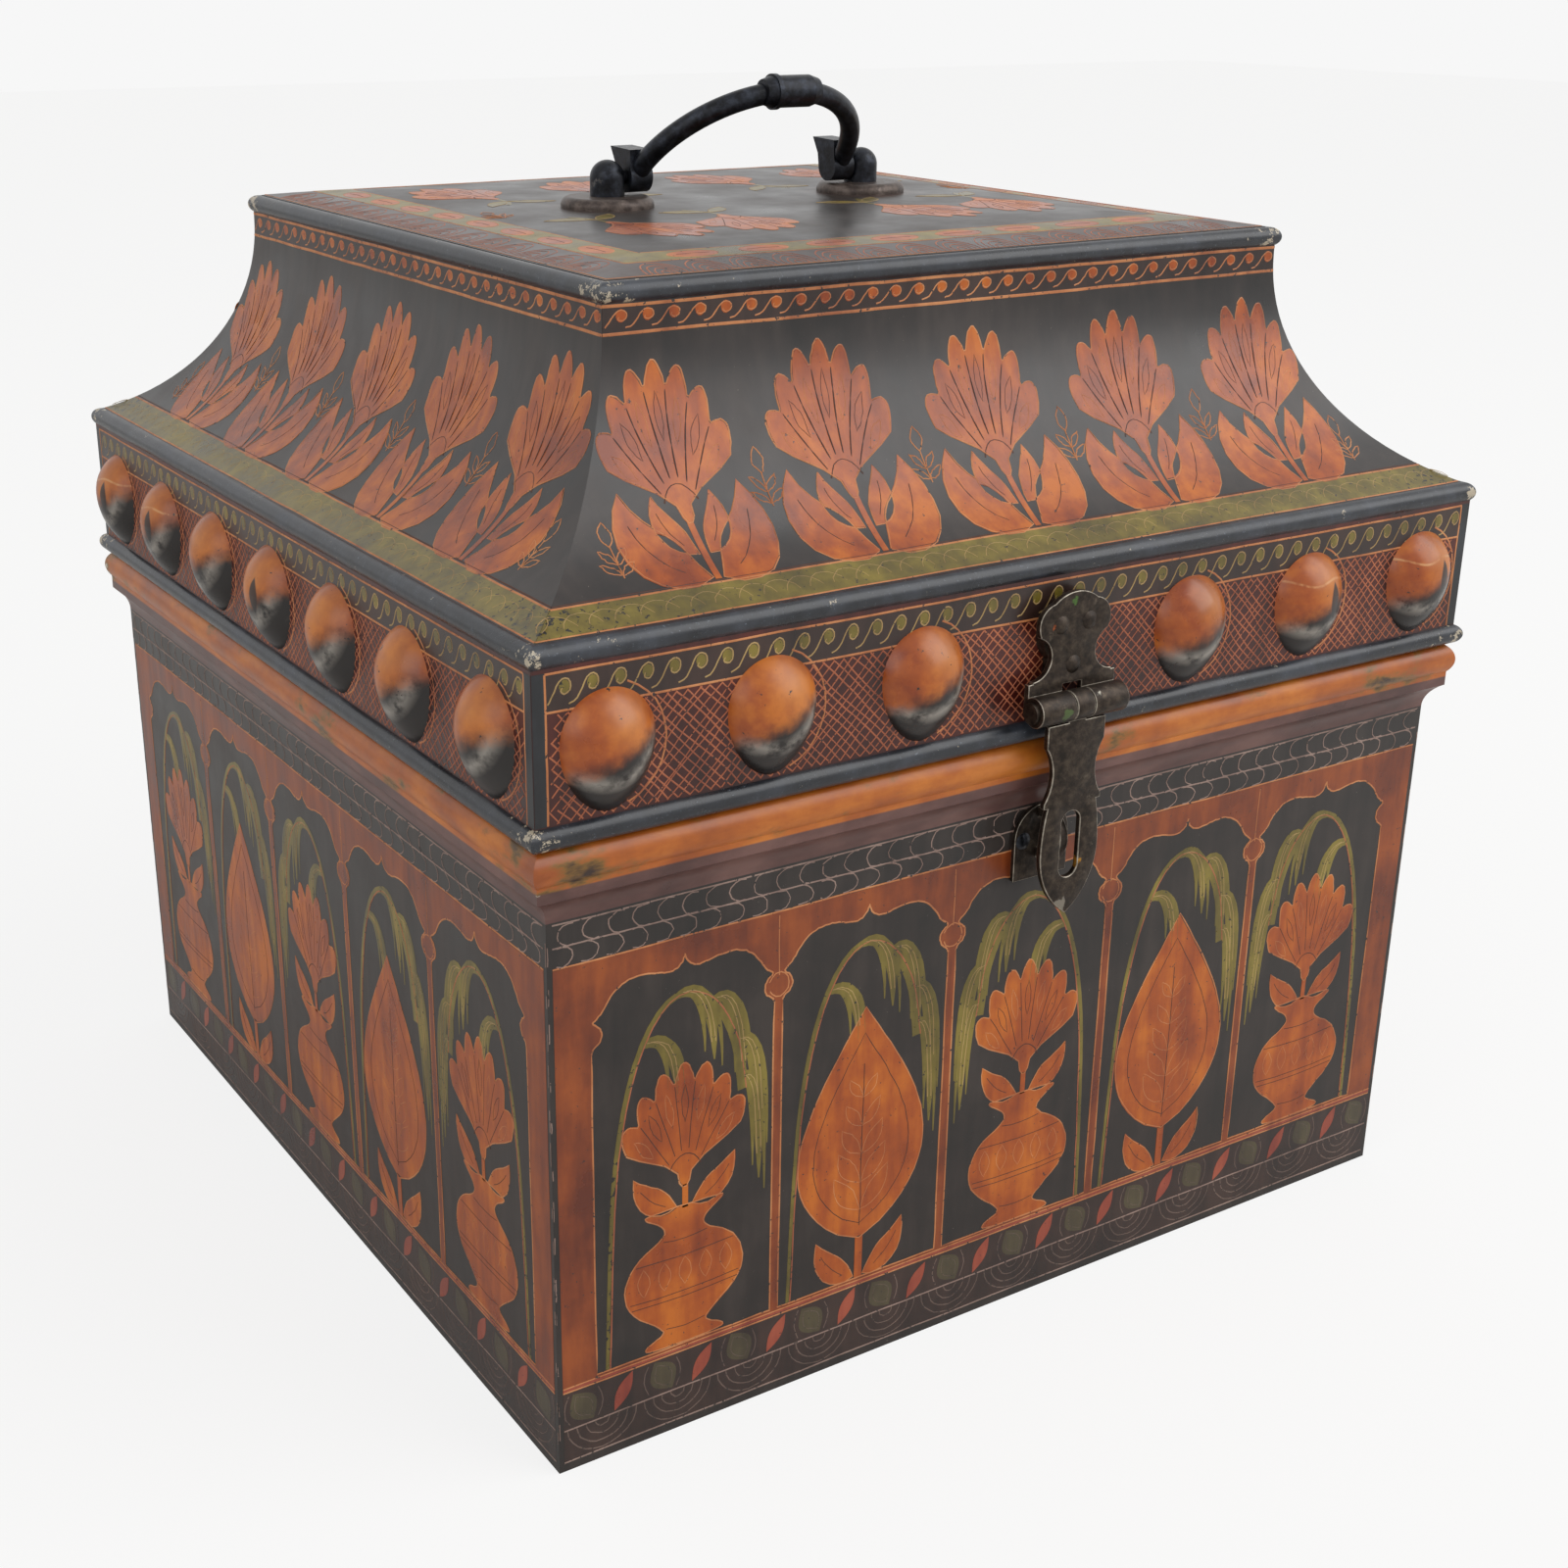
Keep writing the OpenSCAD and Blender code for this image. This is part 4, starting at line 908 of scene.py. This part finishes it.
def vase(art, foot, tall, wide):
    half = [(0.3, 0), (0.34, 0.04), (0.16, 0.1), (0.2, 0.16), (0.46, 0.34), (0.5, 0.52), (0.4, 0.7),
            (0.17, 0.8), (0.15, 0.88), (0.33, 0.98), (0.3, 1)]
    right = [foot + complex(wide * a, tall * b) for a, b in half]
    outline = soften([*right, *mirror(right, foot.real)[::-1]], 2)
    shape(art, "orange", outline)
    scratched(art, outline)
    for level, reach in ((0.14, 0.16), (0.36, 0.44), (0.4, 0.45), (0.66, 0.4), (0.78, 0.18)):
        bow = [foot + complex(wide * reach * s, tall * level - (1 - s * s) * 0.7) for s in halves]
        line(art, "dark", 0.42, bow, 0.1)
    for step in (-2, -1, 0, 1, 2):
        drop = leaf(foot + complex(wide * 0.17 * step, tall * 0.43), tall * 0.2, wide * 0.1, 90)
        line(art, "light", 0.34, drop, 0.1, True)


def budding_tree(art, foot, tall, wide):
    stalk(art, foot, tall * 0.16, 2.6)
    crown = leaf(foot + 1j * tall * 0.15, tall * 0.85, wide, 90, 0, 0.72, 22)
    shape(art, "orange", crown)
    scratched(art, crown)
    inner = leaf(foot + 1j * tall * 0.21, tall * 0.7, wide * 0.76, 90, 0, 0.72, 20)
    line(art, "dark", 0.42, inner, 0.15, True)
    spine = [foot + 1j * tall * (0.2 + 0.1 * i) for i in range(7)]
    line(art, "dark", 0.5, spine, 0.2)
    for i in range(5):
        start = foot + 1j * tall * (0.26 + 0.105 * i)
        reach = wide * (0.36 - 0.045 * i)
        twig = leaf(start, reach, reach * 0.36, 42, 0.2)
        for outline in (twig, mirror(twig, foot.real)):
            line(art, "light", 0.36, outline, 0.14, True)


def hanging_frond(art, start, out, drop, width, hand):
    path = [start + complex(hand * out * (1 - (1 - t) ** 2), drop * (0.34 * t - 1.34 * t ** 2))
            for t in [i / 9 for i in range(10)]]
    body = [0.5 + width * math.sin(math.pi * (0.1 + 0.9 * i / 9)) ** 0.8 for i in range(10)]
    line(art, "olive", body, path)
    for strand, share in ((-0.36, 0.86), (0.3, 1.12)):
        thin = [start + (p - start) * share + hand * width * strand for p in path[1:]]
        line(art, "olive", [0.4 + width * 0.36 * math.sin(math.pi * i / 8) for i in range(9)], thin)
    for strand in (-0.2, 0.14):
        fine = [p + hand * width * strand for p in path]
        line(art, "yellow", 0.34, fine[1:9], 0.14)


def olive_spray(art, foot, tall, reach, hand):
    bow = [0, 0.03 + 0.34j, 0.08 + 0.62j, 0.24 + 0.87j, 0.5 + 1j, 0.78 + 0.97j, 0.98 + 0.84j, 1.04 + 0.68j]
    stem = soften([foot + complex(hand * p.real * reach, p.imag * tall) for p in bow], 2, False)
    last = len(stem) - 1
    line(art, "olive", [1.1 + 2.6 * (i / last) ** 2 for i in range(last + 1)], stem)
    line(art, "salmon", 0.42, [p + hand * 0.9 for p in stem], 0.1)
    for spot, out, drop in ((0.46, 0.26, 0.16), (0.6, 0.28, 0.2), (0.72, 0.24, 0.25), (0.84, 0.2, 0.28),
                            (0.96, 0.14, 0.3)):
        start = stem[int(spot * last)]
        hanging_frond(art, start, reach * out, tall * drop, 3.6, hand)


# %% [markdown]
# ## The walls
# Each wall has an arcade of five cusped arches on slender columns, as a painted gallery. The arcade is one
# shape with five openings cut from it. Vases of flowers and budding trees fill the arches in turn, and an
# olive spray bows over each. Two rows of fish scales run above, and leaf and bar over nested arcs runs
# below.

# %% Wall drawings
wall_margin = 1.6
base_low, base_split, base_high = 2.8, 13, 24.9
arcade_low, arcade_high = 26.4, 149
scale_line, scale_high = 155, 161
post_strip = 9


def arch_opening(middle, half):
    column = half - 1.35
    cusps = [(0, 144.2), (0, 144.2), (0.8, 142), (3.2, 140.4), (6.4, 140.6), (10.5, 141.6), (15, 141.8),
             (19, 140.6), (22.4, 137.4), (24.4, 134)]
    knob = [(1.9, 132.2), (1.9, 131.6), (3.9, 130), (4.5, 128), (3.8, 125.9), (1.7, 124.6)]
    right = [*cusps, *((half - a, b) for a, b in knob), (column, 123.4), (column, 123.4)]
    right = [complex(middle + a, b) for a, b in right]
    foot = complex(middle + column, arcade_low + 0.9)
    return soften([*right, foot, foot, *mirror([foot, foot], middle), *mirror(right, middle)[::-1]], 2)


def arcade(art, half_len):
    strip(art, "frame", arcade_low, arcade_high)
    half = (half_len - post_strip) / 5
    middles = [(i - 2) * 2 * half for i in range(5)]
    for middle in middles:
        opening = arch_opening(middle, half)
        shape(art, "frame", opening)
        line(art, "light", 0.5, opening, 0.14, True)
    for edge in (-1, 1):
        for step in range(3):
            u = edge * half * (2 * step + 1)
            if step < 2:
                line(art, "light", 0.34, [complex(u, 148), complex(u, 140), complex(u, 131)], 0.15)
                line(art, "light", 0.4, arc(complex(u, 128.2), 3.2, 200, 520, 12, 1.1), 0.15)
    return middles, half


def wall_drawing(side):
    half_len = half_body[side] - wall_margin
    art = new_art(lambda level: half_len)
    strip(art, "brown", base_low - 0.2, arcade_low - 0.2)
    nested_arcs(art, base_low + 0.2, base_split - 0.2, 24.5, "faint")
    leaf_and_bar(art, base_split + 0.2, base_high - 0.3)
    strip(art, "red", base_high + 0.4, arcade_low - 0.3)
    for level in (base_low, base_split):
        rule(art, "pink", 0.5, level)
    for level in (base_high, arcade_low - 0.1):
        rule(art, "light", 0.5, level)
    middles, half = arcade(art, half_len)
    for i, middle in enumerate(middles):
        foot = complex(middle, arcade_low + 1.2)
        hand = -1 if i in (2, 4) else 1
        olive_spray(art, foot - hand * (half - 4.6), 107, 2 * half - 17, hand)
        if i % 2:
            budding_tree(art, foot, 86, 43)
            leaf_pair(art, foot + 0.6j, 20, 8, 20, 0.5)
        else:
            vase(art, foot, 43, 38)
            stalk(art, foot + 42.4j, 7, 1.8)
            fan_flower(art, foot + 49j, 37, 41, 7)
            leaf_pair(art, foot + 43j, 18, 7.5, 14, 0.5, gap=2.4)
    rule(art, "light", 0.5, arcade_high + 0.3)
    for edge in (-half_len - 1.3, half_len + 1.3):
        for level in range(6, 156, 12):
            start = level + random.uniform(0, 6)
            worn = [complex(edge, start + random.uniform(2, 7) * t) for t in (0, 0.5, 1)]
            line(art, "pink", random.uniform(0.2, 0.45), worn, 0.08)
    fish_scales(art, arcade_high + 0.6, scale_line, -1)
    fish_scales(art, scale_line, scale_high, 1)
    for level in (scale_line, scale_high + 0.2):
        rule(art, "pink", 0.45, level)
    return art


paint_sides(wall_drawing, "wall", "chest", lambda v, height: (height, v))

# %% [markdown]
# ## The band
# The upright band of the lid is covered with a scratched net, and a scroll with olive dabs runs along its
# top. Each boss has a thin ring scratched round its right side. The net passes under the bosses, as it
# would where the painter could not be bothered to stop at each one.

# %% Band drawings
band_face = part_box("lid_band_right")[1].x / MM - half_body["front"]
band_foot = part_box("rim_roll_front")[1].z / MM
band_margin = 3.6
corner_strip = 3.5
net_high, band_high = 28.2, 37.6
boss_steps = {"front": (-3, -2, -1, 1, 2, 3), "back": (-3, -1, 0, 1, 3)}


def band_section(v, height):
    return band_face + height, band_foot + v


def band_drawing(side):
    half_len = half_body[side] + band_face - band_margin
    art = new_art(lambda level: half_len)
    crossed_net(art, 0.4, net_high - 0.6, 3.0)
    strip(art, "brown", net_high + 0.2, band_high)
    running_scroll(art, net_high + 0.4, band_high - 0.2, 7.4, "olive")
    for level in (net_high, band_high):
        rule(art, "light", 0.6, level)
    for end in (-1, 1):
        line(art, "light", 0.6, [complex(end * half_len, 0.3 + 4.66 * i) for i in range(9)], 0.1)
        outer = half_len + corner_strip
        shape(art, "black", box_outline(end * half_len, end * outer, 0.2, band_high + 0.4))
    level = boss_middle_mm - band_foot
    for step in boss_steps.get(side, range(-3, 4)):
        ring = arc(complex(step * boss_pitch_mm, level - 1.6), 15.9, -70, 70, 12, 1.02)
        line(art, "light", 0.5, ring, 0.12)
    return art


paint_sides(band_drawing, "band", "lid", band_section)

# %% [markdown]
# ## The cove
# The hollow sides of the lid carry an olive strip below, a row of large flowers on the dark ground, and a
# border of orange ovals under the top edge. The cove is a quarter hollow: a height on the drawing becomes
# an angle on its arc, and past the end of the arc the sheet stands straight up. The strips end on the mitre
# of each corner.

# %% Cove drawings
cove_r = 71
cove_foot = (2.4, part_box("shoulder_roll_front")[1].z / MM - 0.1)
cove_middle_out = cove_r - 41
cove_turn = math.acos((cove_middle_out - cove_foot[0]) / cove_r)
cove_middle_z = cove_foot[1] + cove_r * math.sin(cove_turn)
cove_long = cove_r * cove_turn
cove_bands = [3 * i for i in range(1, 30)]
cove_strip_high = 10.2
cove_border_low, cove_border_high = 78.3, 85
flower_pitch = 50.5


def cove_section(v, height):
    angle = np.clip(cove_turn - v / cove_r, 0, None)
    straight = np.clip(v - cove_long, 0, None)
    out = cove_middle_out - (cove_r - height) * np.cos(angle)
    return out, cove_middle_z - (cove_r - height) * np.sin(angle) + straight


def cove_drawing(side):
    art = new_art(lambda level: half_body[side] + float(cove_section(level, 0)[0]) - 0.1)
    strip(art, "olive", 0.7, cove_strip_high)
    for u in row(art, 5, 7):
        line(art, "yellow", 0.3, arc(complex(u, 2.4), 5.6, 15, 165, 8), 0.15)
    for level, colour, width in ((0.9, "light", 0.6), (cove_strip_high + 0.1, "light", 0.7),
                                 (cove_strip_high + 0.9, "dark", 0.4)):
        rule(art, colour, width, level)
    for step in range(-2, 3):
        foot = complex(step * flower_pitch, cove_strip_high + 1.2)
        cove_flower(art, foot, random.uniform(1.03, 1.08))
    for step in (-2.48, -1.5, -0.5, 0.5, 1.5, 2.48):
        sprig(art, complex(step * flower_pitch, 30 if abs(step) < 2 else 16), 16)
    strip(art, "brown", cove_border_low, cove_border_high)
    running_scroll(art, cove_border_low + 0.1, cove_border_high, 7.5, "orange")
    for level in (cove_border_low - 0.1, cove_border_high):
        rule(art, "light", 0.8, level)
    return art


paint_sides(cove_drawing, "cove", "lid", cove_section, ((), cove_bands))

# %% [markdown]
# ## The top
# The top panel rises gently from its edges to a flat middle. Its outer border has nested arcs on brown,
# then an olive strip with orange ovals, and flowers lie on the dark field in the middle. The drawing is
# laid down by lifting each point by the panel's own curve, which depends on how far in from the nearest
# edge it is.

# %% Top drawing
roll_low, roll_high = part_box("top_roll_right")
top_roll_r = (roll_high.z - roll_low.z) / 2 / MM
top_half = (roll_high.x / MM - top_roll_r, roll_high.y / MM - top_roll_r)
top_low = roll_high.z / MM
top_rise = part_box("top_panel")[1].z / MM - top_low
top_run = 46
oval_level = 18.6


def top_settle(u, v, height):
    inward = np.minimum(top_half[0] - np.abs(u), top_half[1] - np.abs(v))
    t = np.clip(inward / top_run, 0, 1)
    return np.stack([u, v, top_low + top_rise * (1 - (1 - t) ** 2) + height], axis=1)


def frame_outline(inset):
    across, deep = top_half[0] - inset, top_half[1] - inset
    return box_outline(-across, across, -deep, deep)


def ring_of(art, colour, outer, inner):
    shape(art, colour, frame_outline(outer), frame_outline(inner))


def around_top(art, draw, inset):
    for turn in range(4):
        across = top_half[turn % 2] - inset
        reach = top_half[(turn + 1) % 2]
        piece = new_art(lambda level: across)
        draw(piece)
        spin = 1j ** turn
        for colour, outlines in piece["shapes"].items():
            shape(art, colour, *[[(p - 1j * reach) * spin for p in points] for points in outlines])
        for colour, lines in piece["lines"].items():
            for width, points, closed in lines:
                line(art, colour, width, [(p - 1j * reach) * spin for p in points], closed=closed)


def arcs_border(piece):
    nested_arcs(piece, 2.4, 12.8, 13.5, "salmon", -1)


def ovals_border(piece):
    for u in row(piece, oval_level, 22):
        middle = complex(u, oval_level)
        oval = arc(middle, 7.6, 0, 345, 16, 0.44)
        shape(piece, "orange", oval)
        scratched(piece, oval)
        line(piece, "dark", 0.36, [middle - 5, middle + 0.4j, middle + 5])


def top_drawing():
    art = new_art(None)
    ring_of(art, "brown", 1.6, 13.4)
    ring_of(art, "olive", 14, 23.2)
    around_top(art, arcs_border, 13)
    around_top(art, ovals_border, 26)
    for inset, width in ((1.6, 0.6), (13.7, 0.7), (23.4, 0.7)):
        line(art, "light", width, frame_outline(inset), closed=True)
    for x in (-1, 1):
        for y in (-1, 1):
            for step, tilt in ((28, 10), (66, -10)):
                foot = complex(x * step, y * 34)
                lean = 0 if y > 0 else 180
                fan_flower(art, foot, 40, 32, 5, lean + tilt * x)
                stem = [foot, foot - 8j * y, foot - 15j * y + 4 * x]
                line(art, "olive", 1.6, soften(stem, 2, False))
                for side_lean in (215, 325):
                    blade = leaf(foot - 6j * y, 15, 5, side_lean * y, 0.2)
                    shape(art, "olive", blade)
                    line(art, "yellow", 0.34, blade, 0.1, True)
        sprig(art, complex(x * 84, -7), 15)
    return art


top_cuts = ([-top_half[0] + 4 * i for i in range(1, 56)], [-top_half[1] + 4 * i for i in range(1, 57)])
make_piece(top_drawing(), "top_ornament", "lid", top_settle, top_cuts)

# %% [markdown]
# ## Worn iron edges
# The hasp, its hinge leaf, the staple and the strap hinges are flat iron with edges rubbed bright. A copy
# of each solid gets a small bevel, and the bevel's own faces take the bright metal, so the worn line is
# real geometry that catches the light. The copies stand in for the solids they were made from.

# %% Bevelled iron copies
worn_width_mm = 0.45


def worn_copy(node, body, dull):
    piece = new_object(node + "_worn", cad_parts[node].data.copy())
    piece.data.materials.clear()
    piece.data.materials.append(dull)
    piece.data.materials.append(bright_iron)
    select_only(piece)
    bpy.ops.object.mode_set(mode="EDIT")
    bpy.ops.mesh.select_all(action="SELECT")
    bpy.ops.mesh.remove_doubles(threshold=0.005 * MM)
    bpy.ops.mesh.dissolve_limited(angle_limit=math.radians(1))
    bpy.ops.object.mode_set(mode="OBJECT")
    bevel = piece.modifiers.new("worn_edge", "BEVEL")
    bevel.width = worn_width_mm * MM
    bevel.segments = 2
    bevel.limit_method = "ANGLE"
    bevel.angle_limit = math.radians(40)
    bevel.material = 1
    bpy.ops.object.modifier_apply(modifier="worn_edge")
    bpy.ops.object.shade_smooth_by_angle(angle=math.radians(35))
    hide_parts(node)
    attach(piece, body)
    print(piece.name, len(piece.data.polygons), "faces")


worn_copy("hasp_leaf", "hasp", hasp_iron)
worn_copy("hasp_hinge_leaf", "lid", hasp_iron)
worn_copy("staple_plate", "chest", hasp_iron)
worn_copy("staple", "chest", hasp_iron)
for level, body in (("upper", "lid"), ("lower", "chest")):
    for hand in ("left", "right"):
        worn_copy(f"hinge_{level}_leaf_{hand}", body, black_iron)
